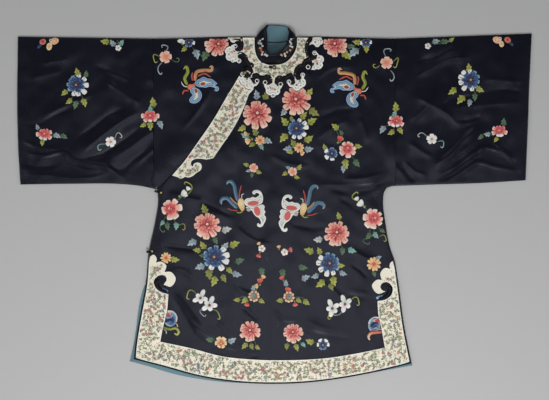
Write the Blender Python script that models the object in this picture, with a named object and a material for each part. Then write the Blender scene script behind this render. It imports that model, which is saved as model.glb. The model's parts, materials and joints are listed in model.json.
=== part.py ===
"""A silk jacket that fastens at the side, laid flat on a surface with its front up.

Metres, +Z up. +X runs along the sleeves and +Y from the hem to the collar. The back lies on z = 0,
its lining on the back, the hidden flap of the front on the lining, and the main front over them.
One flat triangulated plan carries every piece of the front, so pieces that lie on each other share
their points and keep the same small gap everywhere.
"""

import math

import bmesh
import bpy
import numpy as np
from mathutils import Vector, geometry

# Overall size
SPAN = 1.424
LENGTH = 0.993
SEAM_X = 0.335

# Cloth
CLOTH = 0.0015
LINING = 0.0010
TRIM = 0.0010
GAP = 0.0003
BINDING_WIDTH = 0.0042
SEAM_LIP = 0.0040
LOFT = 0.0025
MOST_RISE = 0.0110
LOFT_FADE = 0.030
LAP_FADE = 0.045

# Heights of the layers
LINING_LOW = CLOTH + GAP
FRONT_LOW = LINING_LOW + LINING + GAP
LAP = CLOTH + GAP
LIP_DROP = FRONT_LOW - LINING_LOW

# How finely the plan is divided
PLAN_STEP = 0.029
EDGE_STEP = 0.024
CURL_STEP = 0.007

# Sleeves
SLEEVE_STATIONS = 15
SLEEVE_TOP_POINTS = 16
SLEEVE_BOTTOM_POINTS = 5
SLEEVE_EDGE_POINTS = 3

# Collar
COLLAR_ROWS = 4
COLLAR_PARTS = 2

# Ball buttons and their loops
BALL_RADIUS = 0.0042
CORD_RADIUS = 0.0012
LOOP_RADIUS = 0.0047

BLACK_SATIN = ((0.012, 0.011, 0.019), 0.42, 0.0)
CREAM_SILK = ((0.80, 0.77, 0.62), 0.55, 0.0)
TEAL_SILK = ((0.070, 0.170, 0.200), 0.55, 0.0)
BLACK_BRAID = ((0.008, 0.008, 0.012), 0.60, 0.0)
BRASS = ((0.62, 0.47, 0.20), 0.35, 1.0)

# Edges of the front. Columns: x, y, 1 where the edge turns a corner.
NECKLINE = (
    (-0.0535, 0.4634), (-0.0535, 0.4370), (-0.0490, 0.4140), (-0.0330, 0.3920),
    (-0.0010, 0.3875), (0.0260, 0.3920), (0.0460, 0.4090), (0.0595, 0.4360), (0.0610, 0.4634),
)
NECK_OPENING_ROW = 3
NECK_CENTRE_ROW = 4
OPENING = ((-0.0330, 0.3920), (-0.0634, 0.3845), (-0.0870, 0.3690), (-0.1000, 0.3546))
DIAGONAL = (
    (-0.1000, 0.3546), (-0.1250, 0.3160), (-0.1720, 0.2360), (-0.2210, 0.1650),
    (-0.2530, 0.1200), (-0.2900, 0.0780), (-0.3250, 0.0420),
)
LEFT_SEAM = ((-0.3250, 0.0420), (-0.3225, 0.0120), (-0.3310, -0.0490), (-0.3485, -0.1320),
             (-0.3545, -0.2050))
LEFT_SLIT = (
    (-0.3545, -0.2050), (-0.3552, -0.2110), (-0.3585, -0.2350), (-0.3685, -0.2880),
    (-0.3865, -0.4010), (-0.3890, -0.4285),
)
HEM = (
    (-0.3890, -0.4285), (-0.3150, -0.4475), (-0.2020, -0.4775), (-0.0890, -0.4935),
    (0.0125, -LENGTH / 2), (0.0900, -0.4930), (0.1810, -0.4820), (0.2640, -0.4670),
    (0.3790, -0.4400),
)
RIGHT_SLIT = ((0.3790, -0.4400), (0.3570, -0.3260), (0.3470, -0.2500), (0.3430, -0.2210),
              (0.3420, -0.2150))
RIGHT_SEAM = (
    (0.3420, -0.2150), (0.3320, -0.1540), (0.3220, -0.1260), (0.3070, -0.0490),
    (0.3010, 0.0120), (0.3035, 0.0330), (0.3105, 0.0455), (0.3250, 0.0505), (SEAM_X, 0.0512),
)
SHOULDER_Y = 0.4592
LEFT_UNDERARM_Y = 0.0437
FLAP_EDGE = (
    (-0.0010, 0.3875), (-0.0060, 0.3300), (-0.0450, 0.2620), (-0.1000, 0.1900),
    (-0.1550, 0.1150), (-0.2050, 0.0350), (-0.2300, -0.0600), (-0.2450, -0.1950, 1),
    (-0.3545, -0.2050),
)

# The back. Its skirt spreads past the front at the left slit.
BACK_NECKLINE = (
    (-0.0535, 0.4634), (-0.0380, 0.4545), (-0.0180, 0.4502), (0.0040, 0.4490),
    (0.0260, 0.4502), (0.0460, 0.4545), (0.0610, 0.4634),
)
BACK_LEFT_SLIT = ((-0.3545, -0.2050), (-0.3700, -0.2535), (-0.3890, -0.3750), (-0.4010, -0.4355))
BACK_HEM = (
    (-0.4010, -0.4355), (-0.3430, -0.4515), (-0.2860, -0.4690), (-0.2000, -0.4860),
    (-0.1170, -0.4950), (-0.0600, -LENGTH / 2), (0.0125, -0.4955), (0.1810, -0.4835),
    (0.2640, -0.4690), (0.3830, -0.4470),
)
BACK_RIGHT_SLIT = ((0.3830, -0.4470), (0.3570, -0.3260), (0.3420, -0.2150))
BACK_BORDER_INNER = (
    (-0.3560, -0.2080), (-0.3050, -0.2350), (-0.3050, -0.2900), (-0.3290, -0.3830, 1),
    (-0.2300, -0.4130), (-0.1170, -0.4350), (-0.0400, -0.4385), (0.1000, -0.4330),
    (0.2300, -0.4140), (0.3090, -0.3930, 1), (0.2900, -0.3000), (0.2900, -0.2450),
    (0.3435, -0.2190),
)
LINING_INSET_SEAM = 0.0054
LINING_INSET_HEM = 0.0015

# Cream borders. Columns: x, y, 1 where the edge turns a corner.
NECK_RING = (
    (-0.0880, 0.4615), (-0.0885, 0.4300), (-0.0760, 0.4030), (-0.0630, 0.3800),
    (-0.0560, 0.3640), (-0.0235, 0.3557), (0.0053, 0.3490), (0.0415, 0.3596),
    (0.0590, 0.3660), (0.0700, 0.3825), (0.0850, 0.4000), (0.0900, 0.4250), (0.0925, 0.4615),
)
RING_CLEARANCE = 0.0012
RING_TOP_Y = 0.4615
# Lobes round the ring. Columns: x, y, radius, direction outwards in degrees, neck width.
NECK_LOBES = (
    (-0.1120, 0.4660, 0.019, 150.0, 0.006),
    (-0.1140, 0.4180, 0.025, 188.0, 0.010),
    (-0.0692, 0.3450, 0.027, 228.0, 0.008),
    (-0.0040, 0.3250, 0.026, 268.0, 0.008),
    (0.0620, 0.3400, 0.026, 306.0, 0.008),
    (0.1120, 0.3960, 0.026, 345.0, 0.010),
    (0.1180, 0.4520, 0.017, 20.0, 0.006),
)
LOBE_SCALLOPS = 5
LOBE_POINTS = 20
LOBE_DEPTH = 0.20
# Round curls of the dark ground that cut into the lobes. Columns: x, y, radius.
NECK_CURLS = (
    (-0.0986, 0.4321, 0.0095), (-0.0930, 0.4083, 0.0085), (-0.0765, 0.3590, 0.0085),
    (-0.0530, 0.3557, 0.0090), (-0.0160, 0.3400, 0.0085), (0.0080, 0.3390, 0.0085),
    (0.0473, 0.3482, 0.0090), (0.0680, 0.3590, 0.0085), (0.0958, 0.3920, 0.0085),
    (0.1044, 0.4120, 0.0085),
)
CURL_POINTS = 9
CLOSING_INSET = 0.0032
CLOSING_TOP = 0.0160
CLOSING_FOOT_Y = 0.0800
MITRE_GAP = 0.0007
PARTING = 0.0006
CLOSING_END = (
    (-0.0690, 0.3090, 1), (-0.0870, 0.2620), (-0.1070, 0.2215), (-0.1250, 0.1920),
    (-0.1490, 0.1575), (-0.1690, 0.1280, 1), (-0.1850, 0.1245), (-0.2054, 0.1262),
    (-0.2200, 0.1250), (-0.2300, 0.1180), (-0.2300, 0.1085), (-0.2255, 0.1045, 1),
    (-0.2235, 0.1115), (-0.2150, 0.1160), (-0.2050, 0.1140), (-0.2010, 0.1060),
    (-0.2040, 0.0950), (-0.2150, 0.0880, 1), (-0.2240, 0.0800), (-0.2370, 0.0745),
    (-0.2480, 0.0765, 1), (-0.2550, 0.0715), (-0.2660, 0.0745, 1), (-0.2830, 0.0800, 1),
)
LEFT_CLOUD = (
    (-0.3440, -0.1440, 1), (-0.3340, -0.1384), (-0.3253, -0.1509), (-0.3272, -0.1605, 1),
    (-0.3144, -0.1578), (-0.2989, -0.1686), (-0.3039, -0.1868, 1), (-0.2873, -0.1860),
    (-0.2729, -0.2043), (-0.2873, -0.2275), (-0.3067, -0.2217, 1), (-0.2981, -0.2054),
    (-0.3028, -0.1976), (-0.3164, -0.1957), (-0.3341, -0.2131), (-0.3280, -0.2306),
    (-0.3125, -0.2422), (-0.2931, -0.2480, 1),
)
LEFT_BORDER_INNER = ((-0.2931, -0.2480), (-0.2970, -0.2929), (-0.3106, -0.3510),
                     (-0.3156, -0.3795))
RIGHT_CLOUD = (
    (0.3270, -0.1560, 1), (0.3208, -0.1608), (0.3180, -0.1694), (0.3197, -0.1783, 1),
    (0.3061, -0.1752), (0.2926, -0.1899), (0.2965, -0.2093, 1), (0.2868, -0.2073),
    (0.2696, -0.2228), (0.2868, -0.2472), (0.3070, -0.2403, 1), (0.2984, -0.2375),
    (0.2929, -0.2278), (0.2984, -0.2181), (0.3100, -0.2148), (0.3265, -0.2306),
    (0.3228, -0.2500), (0.3042, -0.2635), (0.2848, -0.2668, 1),
)
RIGHT_BORDER_INNER = ((0.2848, -0.2668), (0.2868, -0.3025), (0.2945, -0.3394),
                      (0.3050, -0.3958))
HEM_BORDER_INNER = (
    (-0.3156, -0.3795), (-0.2300, -0.3975), (-0.1453, -0.4196), (-0.0603, -0.4285),
    (0.0125, -0.4304), (0.1398, -0.4249), (0.2145, -0.4141), (0.3050, -0.3958),
)

# Sleeve edges. The cuff columns are distance from the seam end, y from the bottom of the cuff up.
LEFT_SLEEVE_UNDER = ((-SEAM_X, 0.0437), (-0.3700, 0.0510), (-0.4280, 0.0565), (-0.5700, 0.0570),
                     (-0.7030, 0.0550))
RIGHT_SLEEVE_UNDER = ((SEAM_X, 0.0512), (0.4415, 0.0550), (0.5690, 0.0590), (0.6950, 0.0667))
LEFT_CUFF = ((-0.7030, 0.0550), (-0.7090, 0.1500), (-SPAN / 2, 0.2600), (-0.7100, 0.4648))
RIGHT_CUFF = ((0.6950, 0.0667), (0.7010, 0.2170), (0.7060, 0.3500), (SPAN / 2, 0.4730))

# Large folds of the cloth. Columns: start x, y, middle x, y, end x, y, half width, height.
FOLDS = (
    (-0.699, 0.214, -0.627, 0.211, -0.566, 0.267, 0.027, -0.0030),
    (-0.666, 0.231, -0.621, 0.245, -0.583, 0.272, 0.025, 0.0040),
    (-0.635, 0.153, -0.516, 0.195, -0.392, 0.278, 0.027, -0.0035),
    (-0.544, 0.140, -0.472, 0.206, -0.367, 0.278, 0.031, 0.0060),
    (-0.561, 0.126, -0.483, 0.134, -0.356, 0.203, 0.025, -0.0035),
    (-0.466, 0.123, -0.417, 0.178, -0.353, 0.195, 0.028, 0.0050),
    (-0.693, 0.142, -0.572, 0.156, -0.516, 0.112, 0.023, 0.0055),
    (-0.527, 0.117, -0.472, 0.112, -0.422, 0.079, 0.023, 0.0055),
    (-0.475, 0.120, -0.433, 0.106, -0.375, 0.065, 0.022, -0.0030),
    (-0.632, 0.115, -0.538, 0.106, -0.472, 0.081, 0.022, -0.0030),
    (-0.693, 0.084, -0.577, 0.070, -0.461, 0.079, 0.020, 0.0035),
    (-0.466, 0.350, -0.422, 0.328, -0.372, 0.278, 0.031, 0.0050),
    (-0.489, 0.389, -0.450, 0.383, -0.394, 0.350, 0.028, -0.0025),
    (-0.649, 0.400, -0.594, 0.414, -0.522, 0.389, 0.031, 0.0030),
    (0.403, 0.344, 0.447, 0.411, 0.552, 0.402, 0.033, 0.0050),
    (0.370, 0.389, 0.447, 0.400, 0.530, 0.450, 0.025, -0.0025),
    (0.367, 0.239, 0.419, 0.278, 0.475, 0.300, 0.028, 0.0040),
    (0.364, 0.317, 0.430, 0.283, 0.519, 0.223, 0.028, 0.0040),
    (0.480, 0.242, 0.525, 0.211, 0.583, 0.250, 0.024, -0.0035),
    (0.475, 0.267, 0.580, 0.245, 0.691, 0.289, 0.031, 0.0030),
    (0.430, 0.090, 0.525, 0.134, 0.563, 0.223, 0.033, 0.0065),
    (0.386, 0.059, 0.491, 0.090, 0.563, 0.156, 0.024, -0.0035),
    (0.558, 0.156, 0.597, 0.156, 0.646, 0.123, 0.024, -0.0035),
    (0.530, 0.101, 0.574, 0.151, 0.668, 0.098, 0.028, 0.0050),
    (0.563, 0.178, 0.619, 0.175, 0.663, 0.134, 0.025, 0.0035),
    (0.342, 0.123, 0.364, 0.090, 0.392, 0.056, 0.024, -0.0035),
    (0.358, 0.151, 0.403, 0.145, 0.441, 0.151, 0.025, -0.0025),
    (0.563, 0.206, 0.624, 0.211, 0.685, 0.200, 0.025, 0.0030),
    (-0.336, 0.054, -0.317, 0.101, -0.245, 0.162, 0.028, 0.0055),
    (-0.317, 0.068, -0.300, 0.123, -0.273, 0.250, 0.025, -0.0025),
    (-0.322, 0.306, -0.300, 0.333, -0.267, 0.366, 0.033, 0.0040),
    (-0.245, 0.018, -0.145, 0.012, -0.024, -0.063, 0.027, -0.0025),
    (-0.295, -0.110, -0.251, -0.115, -0.201, -0.126, 0.025, -0.0025),
    (-0.273, -0.237, -0.239, -0.331, -0.134, -0.411, 0.026, -0.0030),
    (-0.251, -0.231, -0.195, -0.314, -0.112, -0.381, 0.030, 0.0040),
    (-0.101, -0.284, -0.062, -0.298, -0.024, -0.323, 0.024, -0.0025),
    (0.060, -0.281, 0.093, -0.292, 0.137, -0.320, 0.024, -0.0025),
    (0.071, -0.339, 0.137, -0.337, 0.209, -0.364, 0.029, 0.0040),
    (0.226, -0.265, 0.253, -0.276, 0.281, -0.273, 0.025, -0.0030),
    (0.203, -0.107, 0.237, -0.121, 0.270, -0.143, 0.025, -0.0025),
    (0.181, 0.045, 0.231, 0.048, 0.286, 0.040, 0.026, -0.0030),
    (0.198, 0.068, 0.253, 0.062, 0.314, 0.073, 0.026, 0.0040),
    (0.060, 0.084, 0.093, 0.079, 0.137, 0.079, 0.025, -0.0025),
    (0.120, 0.234, 0.143, 0.250, 0.176, 0.261, 0.028, 0.0030),
    (0.259, 0.200, 0.309, 0.167, 0.353, 0.095, 0.031, 0.0050),
    (0.242, 0.206, 0.259, 0.173, 0.275, 0.145, 0.025, -0.0025),
    (-0.206, -0.049, -0.145, -0.027, -0.095, -0.049, 0.030, 0.0030),
)
FOLD_SEGMENTS = 8

# The collar's middle surface from its left end round the back to its right end.
# Columns: base x, y, z, top x, y, z, swell of the wall between them.
COLLAR = (
    (-0.0012, 0.3894, 0.0044, -0.0022, 0.4112, 0.0360, 0.0020),
    (-0.0321, 0.3937, 0.0042, -0.0150, 0.4135, 0.0350, 0.0030),
    (-0.0472, 0.4150, 0.0042, -0.0205, 0.4270, 0.0320, 0.0040),
    (-0.0516, 0.4372, 0.0042, -0.0205, 0.4460, 0.0270, 0.0040),
    (-0.0518, 0.4540, 0.0042, -0.0205, 0.4660, 0.0200, 0.0040),
    (-0.0500, 0.4618, 0.0034, -0.0235, 0.4880, 0.0115, 0.0040),
    (-0.0445, 0.4594, 0.0022, -0.0200, 0.4955, 0.0055, 0.0000),
    (-0.0320, 0.4541, 0.0020, -0.0110, 0.4963, 0.0046, 0.0000),
    (-0.0150, 0.4508, 0.0019, -0.0020, 0.4963, 0.0044, 0.0000),
    (0.0040, 0.4497, 0.0019, 0.0080, 0.4960, 0.0044, 0.0000),
    (0.0230, 0.4508, 0.0019, 0.0190, 0.4950, 0.0046, 0.0000),
    (0.0400, 0.4541, 0.0020, 0.0300, 0.4925, 0.0055, 0.0000),
    (0.0520, 0.4594, 0.0022, 0.0395, 0.4875, 0.0075, 0.0000),
    (0.0578, 0.4620, 0.0034, 0.0425, 0.4790, 0.0135, 0.0040),
    (0.0596, 0.4540, 0.0042, 0.0385, 0.4640, 0.0220, 0.0040),
    (0.0576, 0.4363, 0.0042, 0.0340, 0.4440, 0.0290, 0.0040),
    (0.0443, 0.4100, 0.0042, 0.0215, 0.4255, 0.0340, 0.0040),
    (0.0250, 0.3936, 0.0050, 0.0085, 0.4160, 0.0355, 0.0030),
    (-0.0004, 0.3896, 0.0060, -0.0012, 0.4112, 0.0360, 0.0020),
)
# The collar's lining shows only on the stretch that lies at the back of the neck.
LINED_STATIONS = slice(13, 24)
WALL_GAP = 0.00015

# Ball buttons. Columns: x, y, direction of the loop in degrees, length of the loop, height of the
# border under it.
BUTTONS = {
    "neck": (-0.0006, 0.3790, 180.0, 0.014, GAP + TRIM),
    "collarbone": (-0.0815, 0.3640, 118.0, 0.014, GAP + TRIM),
    "armpit": (-0.3130, 0.0330, 168.0, 0.018, 0.0),
    "side": (-0.3380, -0.1290, 190.0, 0.015, 0.0),
}
BALL_SEGMENTS = 10
BALL_RINGS = 6
LOOP_ARC_POINTS = 8


def clear_scene():
    for item in list(bpy.data.objects):
        bpy.data.objects.remove(item, do_unlink=True)


def material(name, look):
    colour, roughness, metallic = look
    made = bpy.data.materials.new(name)
    made.use_nodes = True
    made.diffuse_color = (*colour, 1.0)
    shader = made.node_tree.nodes["Principled BSDF"]
    shader.inputs["Base Color"].default_value = (*colour, 1.0)
    shader.inputs["Roughness"].default_value = roughness
    shader.inputs["Metallic"].default_value = metallic
    return made


def add_object(name, data, look, collection):
    item = bpy.data.objects.new(name, data)
    item.data.materials.append(material(name, look))
    collection.objects.link(item)
    return item


def smoothstep(value):
    value = np.clip(value, 0.0, 1.0)
    return value * value * (3.0 - 2.0 * value)


def spline(rows, step=EDGE_STEP):
    """A smooth curve through the rows, with a corner at each row whose third column is 1."""
    knots = np.array([row[:2] for row in rows])
    corner = [len(row) > 2 for row in rows]
    corner[0] = corner[-1] = True
    chords = np.diff(knots, axis=0)
    lengths = np.linalg.norm(chords, axis=1)
    slopes = chords / lengths[:, None]

    def slope_at(knot, span):
        if corner[knot]:
            return slopes[span]
        before, after = lengths[knot - 1], lengths[knot]
        return (slopes[knot - 1] * after + slopes[knot] * before) / (before + after)

    points = []
    for span, length in enumerate(lengths):
        start, end = slope_at(span, span) * length, slope_at(span + 1, span) * length
        count = max(1, math.ceil(length / step - 0.2))
        for part in np.arange(count) / count:
            square, cube = part**2, part**3
            points.append(
                knots[span] * (2 * cube - 3 * square + 1)
                + knots[span + 1] * (3 * square - 2 * cube)
                + start * (cube - 2 * square + part)
                + end * (cube - square)
            )
    return np.array([*points, knots[-1]])


def offset(chain, distance):
    """The chain moved to its left by the distance."""
    along = np.diff(chain, axis=0)
    along /= np.linalg.norm(along, axis=1)[:, None]
    tangent = np.vstack([along[:1], along[:-1] + along[1:], along[-1:]])
    tangent /= np.linalg.norm(tangent, axis=1)[:, None]
    return chain + distance * np.stack([-tangent[:, 1], tangent[:, 0]], axis=1)


def join(*chains):
    """One chain of several that follow each other, without the points that they share."""
    points = [chains[0][0]]
    for chain in chains:
        for point in chain:
            if np.linalg.norm(point - points[-1]) > 1e-6:
                points.append(point)
    return np.array(points)


def inside(points, outline):
    """Which points lie inside a closed outline."""
    x, y = points[:, 0, None], points[:, 1, None]
    x0, y0 = outline[:, 0], outline[:, 1]
    x1, y1 = np.roll(x0, -1), np.roll(y0, -1)
    crosses = (y0 > y) != (y1 > y)
    with np.errstate(divide="ignore", invalid="ignore"):
        at = x0 + (y - y0) * (x1 - x0) / (y1 - y0)
    return (crosses & (x < at)).sum(axis=1) % 2 == 1


def nearest(points, chain):
    """Each point's distance from the chain, and how far along the chain (0 to 1) it is nearest."""
    start, along = chain[:-1], np.diff(chain, axis=0)
    length = np.linalg.norm(along, axis=1)
    part = ((points[:, None] - start) * along).sum(axis=2) / np.maximum(length**2, 1e-12)
    part = np.clip(part, 0.0, 1.0)
    away = np.linalg.norm(points[:, None] - (start + part[..., None] * along), axis=2)
    best = away.argmin(axis=1)
    rows = np.arange(len(points))
    run = np.concatenate([[0.0], np.cumsum(length)])
    return away[rows, best], (run[best] + part[rows, best] * length[best]) / run[-1]


class Outlines:
    """Every edge of the jacket's plan, as chains of points."""

    def __init__(self):
        neck = spline(NECKLINE, 0.020)
        at_opening = np.linalg.norm(neck - NECKLINE[NECK_OPENING_ROW], axis=1).argmin()
        at_centre = np.linalg.norm(neck - NECKLINE[NECK_CENTRE_ROW], axis=1).argmin()
        self.neck = neck
        self.opening = spline(OPENING)
        self.diagonal = spline(DIAGONAL)
        self.left_seam = spline(LEFT_SEAM)
        self.left_slit = spline(LEFT_SLIT)
        self.hem = spline(HEM)
        self.right_slit = spline(RIGHT_SLIT)
        self.right_seam = spline(RIGHT_SEAM)
        self.right_shoulder = spline((NECKLINE[-1], (SEAM_X, SHOULDER_Y)))
        self.left_shoulder = spline(((-SEAM_X, SHOULDER_Y), NECKLINE[0]))
        self.right_join = spline((RIGHT_SEAM[-1], (SEAM_X, SHOULDER_Y)))
        self.left_join = spline(((-SEAM_X, SHOULDER_Y), (-SEAM_X, LEFT_UNDERARM_Y)))
        self.left_underarm = spline(((-SEAM_X, LEFT_UNDERARM_Y), LEFT_SEAM[0]))
        self.flap = spline(FLAP_EDGE)
        self.main = join(
            self.diagonal, self.left_seam, self.left_slit, self.hem, self.right_slit,
            self.right_seam, self.right_join, self.right_shoulder[::-1],
            neck[at_opening:][::-1], self.opening,
        )
        self.under = join(
            neck[: at_centre + 1], self.flap, self.left_seam[::-1], self.left_underarm[::-1],
            self.left_join[::-1], self.left_shoulder,
        )
        self.closed = (
            join(self.left_underarm, self.left_seam), self.right_seam,
            self.left_shoulder, self.right_shoulder,
        )
        self.left_under_sleeve = spline(LEFT_SLEEVE_UNDER)
        self.right_under_sleeve = spline(RIGHT_SLEEVE_UNDER)
        self.left_cuff = spline(LEFT_CUFF)
        self.right_cuff = spline(RIGHT_CUFF)
        self.whole = join(
            self.left_seam, self.left_slit, self.hem, self.right_slit, self.right_seam,
            self.right_under_sleeve, self.right_cuff,
            np.array([(SEAM_X, SHOULDER_Y)]), self.right_shoulder[::-1], neck[::-1],
            self.left_shoulder[::-1], self.left_cuff[::-1], self.left_under_sleeve[::-1],
            self.left_underarm,
        )


def fold_rise(points):
    """The sum of the folds' heights at the points."""
    rise = np.zeros(len(points))
    steps = np.linspace(0.0, 1.0, FOLD_SEGMENTS + 1)[:, None]
    for x0, y0, xm, ym, x1, y1, half_width, height in FOLDS:
        middle = 2 * np.array([xm, ym]) - 0.5 * np.array([x0 + x1, y0 + y1])
        path = (
            np.array([x0, y0]) * (1 - steps) ** 2
            + middle * 2 * steps * (1 - steps)
            + np.array([x1, y1]) * steps**2
        )
        away, along = nearest(points, path)
        across = 0.5 + 0.5 * np.cos(math.pi * np.clip(away / half_width, 0.0, 1.0))
        rise += height * across * smoothstep(4.0 * np.minimum(along, 1.0 - along) + 0.15)
    return rise


def cloth_rise(points, outlines):
    """How high the upper cloth stands over its flat rest, nothing at the jacket's own edges."""
    fade = smoothstep(nearest(points, outlines.whole)[0] / LOFT_FADE)
    return np.clip(LOFT + fold_rise(points), 0.0004, MOST_RISE) * fade


def seam_drop(points, outlines):
    """How far the front comes down to the back, along the edges where the two are one."""
    away = np.min([nearest(points, chain)[0] for chain in outlines.closed], axis=0)
    return LIP_DROP * np.clip(1.0 - away / SEAM_LIP, 0.0, 1.0)


def lap_rise(points, outlines):
    """How high the main front stands for the flap under it."""
    ring = np.vstack([outlines.under, outlines.under[:1]])
    away = np.where(inside(points, outlines.under), 0.0, nearest(points, ring)[0])
    away[away < 1e-6] = 0.0
    return LAP * smoothstep(1.0 - away / LAP_FADE)


def lobe_outline(x, y, radius, direction):
    """A rosette with scallops, one of which points outwards."""
    turn = math.radians(direction)
    angles = np.arange(LOBE_POINTS) * 2 * math.pi / LOBE_POINTS
    scallop = np.abs(np.cos(0.5 * LOBE_SCALLOPS * (angles - math.pi)))
    radii = radius * (1.0 - LOBE_DEPTH + LOBE_DEPTH * scallop)
    return np.stack([x + radii * np.cos(angles + turn), y + radii * np.sin(angles + turn)], axis=1)


def neck_outline(x, y, direction, width):
    """The strip that joins a lobe to the ring."""
    turn = math.radians(direction)
    out = np.array([math.cos(turn), math.sin(turn)])
    side = np.array([-out[1], out[0]]) * 0.5 * width
    centre = np.array([x, y])
    back = centre - out * 0.034
    return np.array([centre + side, back + side, back - side, centre - side])


def curl_outline(x, y, radius):
    angles = np.arange(CURL_POINTS) * 2 * math.pi / CURL_POINTS
    return np.stack([x + radius * np.cos(angles), y + radius * np.sin(angles)], axis=1)


class Borders:
    """Outlines of the cream borders on the front."""

    def __init__(self, edges):
        ring_inner = offset(edges.neck, -RING_CLEARANCE)
        ring_inner[:, 1] = np.minimum(ring_inner[:, 1], RING_TOP_Y)
        ring_outer = spline(NECK_RING, 0.016)
        self.ring = join(ring_outer, ring_inner[::-1])
        self.lobes = [lobe_outline(*row[:4]) for row in NECK_LOBES]
        self.necks = [neck_outline(row[0], row[1], row[3], row[4]) for row in NECK_LOBES]
        self.curls = [curl_outline(*row) for row in NECK_CURLS]

        diagonal = offset(edges.diagonal, CLOSING_INSET)
        start = np.linalg.norm(diagonal - diagonal[0], axis=1) > CLOSING_TOP
        until = diagonal[:, 1] > CLOSING_FOOT_Y
        self.closing = join(diagonal[start & until][::-1], spline(CLOSING_END, CURL_STEP))

        left_edge = join(edges.left_seam, edges.left_slit)
        skirt = join(edges.left_slit, edges.hem, edges.right_slit)
        self.binding_inner = offset(skirt, BINDING_WIDTH)
        self.binding = join(skirt, self.binding_inner[::-1])
        border_edge = BINDING_WIDTH + GAP
        left_outer = offset(left_edge, border_edge)
        left_outer = left_outer[left_outer[:, 1] < LEFT_CLOUD[0][1] - 0.004]
        right_edge = join(edges.right_slit, edges.right_seam)
        right_outer = offset(right_edge, border_edge)
        right_outer = right_outer[right_outer[:, 1] < RIGHT_CLOUD[0][1] - 0.004]
        hem_outer = offset(edges.hem, border_edge)
        left_corner = np.array([left_outer[-1][0] + 0.001, hem_outer[0][1]])
        right_corner = np.array([right_outer[0][0] - 0.001, hem_outer[-1][1]])
        self.left = join(
            spline(LEFT_CLOUD, CURL_STEP), spline(LEFT_BORDER_INNER),
            left_corner[None], left_outer[:-1][::-1],
        )
        self.right = join(
            spline(RIGHT_CLOUD, CURL_STEP), spline(RIGHT_BORDER_INNER),
            right_corner[None], right_outer[1:],
        )
        aside = np.array([MITRE_GAP, 0.0])
        hem_inner = spline(HEM_BORDER_INNER)
        hem_inner[0] += aside
        hem_inner[-1] -= aside
        self.hem = join(
            (left_corner + aside)[None], hem_outer[1:-1], (right_corner - aside)[None],
            hem_inner[::-1],
        )


def ring_of(outline):
    """A closed outline as a chain that ends where it starts."""
    return np.vstack([outline, outline[:1]])


def lattice(chains, step):
    """Points of a triangular lattice that keep clear of the chains."""
    rows = []
    height = step * math.sqrt(3) / 2
    for row in range(int(LENGTH / height) + 2):
        y = -LENGTH / 2 + row * height
        start = -SPAN / 2 + (row % 2) * step / 2
        rows += [(start + column * step, y) for column in range(int(SPAN / step) + 2)]
    points = np.array(rows)
    clear = np.ones(len(points), bool)
    for chain in chains:
        clear &= nearest(points, chain)[0] > 0.5 * step
    return points[clear]


class Plan:
    """The triangulated plan of the front: points, triangles and the middle of each triangle."""

    def __init__(self, edges, borders):
        closed = [edges.main, edges.under, borders.ring, borders.closing, borders.left,
                  borders.right, borders.hem, *borders.lobes, *borders.necks, *borders.curls]
        left_seam = join(edges.left_underarm, edges.left_seam)
        lips = [offset(left_seam, SEAM_LIP), offset(edges.right_seam, SEAM_LIP),
                offset(edges.left_shoulder, -SEAM_LIP), offset(edges.right_shoulder, -SEAM_LIP)]
        parting = offset(edges.opening, -PARTING)
        chains = [*map(ring_of, closed), *lips, borders.binding_inner, parting]
        inner = lattice(chains, PLAN_STEP)
        inner = inner[inside(inner, edges.main) | inside(inner, edges.under)]
        points, pairs = [], []
        for chain in chains:
            first = len(points)
            points += list(chain)
            pairs += [(first + row, first + row + 1) for row in range(len(chain) - 1)]
        points += list(inner)
        flat = [Vector(point * 1000.0) for point in points]
        found = geometry.delaunay_2d_cdt(flat, pairs, [], 0, 1e-3)
        self.points = np.array([tuple(point) for point in found[0]]) / 1000.0
        self.triangles = np.array([list(face) for face in found[2]])
        self.centres = self.points[self.triangles].mean(axis=1)

    def height_at(self, heights, place):
        """The height of the triangulated surface at a place."""
        corners = self.points[self.triangles]
        first, second = corners[:, 1] - corners[:, 0], corners[:, 2] - corners[:, 0]
        to_place = place - corners[:, 0]
        area = first[:, 0] * second[:, 1] - first[:, 1] * second[:, 0]
        area = np.where(np.abs(area) < 1e-14, np.inf, area)
        one = (to_place[:, 0] * second[:, 1] - to_place[:, 1] * second[:, 0]) / area
        two = (first[:, 0] * to_place[:, 1] - first[:, 1] * to_place[:, 0]) / area
        row = np.minimum(np.minimum(one, two), 1.0 - one - two).argmax()
        weights = np.array([1.0 - one[row] - two[row], one[row], two[row]])
        return float(weights @ heights[self.triangles[row]])


def raised_piece(name, plan, keep, low, thick, look, collection):
    """The kept triangles of the plan as a wall, its underside at the heights in low."""
    used = np.unique(plan.triangles[keep])
    shape = bmesh.new()
    corner = {}
    for index in used:
        corner[index] = shape.verts.new((*plan.points[index], low[index]))
    for triangle in plan.triangles[keep]:
        face = shape.faces.new([corner[index] for index in triangle])
        face.normal_update()
        if face.normal.z < 0:
            face.normal_flip()
    upper = bmesh.ops.extrude_face_region(shape, geom=shape.faces[:])["geom"]
    raised = [item for item in upper if isinstance(item, bmesh.types.BMVert)]
    bmesh.ops.translate(shape, verts=raised, vec=(0.0, 0.0, thick))
    data = bpy.data.meshes.new(name)
    shape.to_mesh(data)
    shape.free()
    return add_object(name, data, look, collection)


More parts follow.
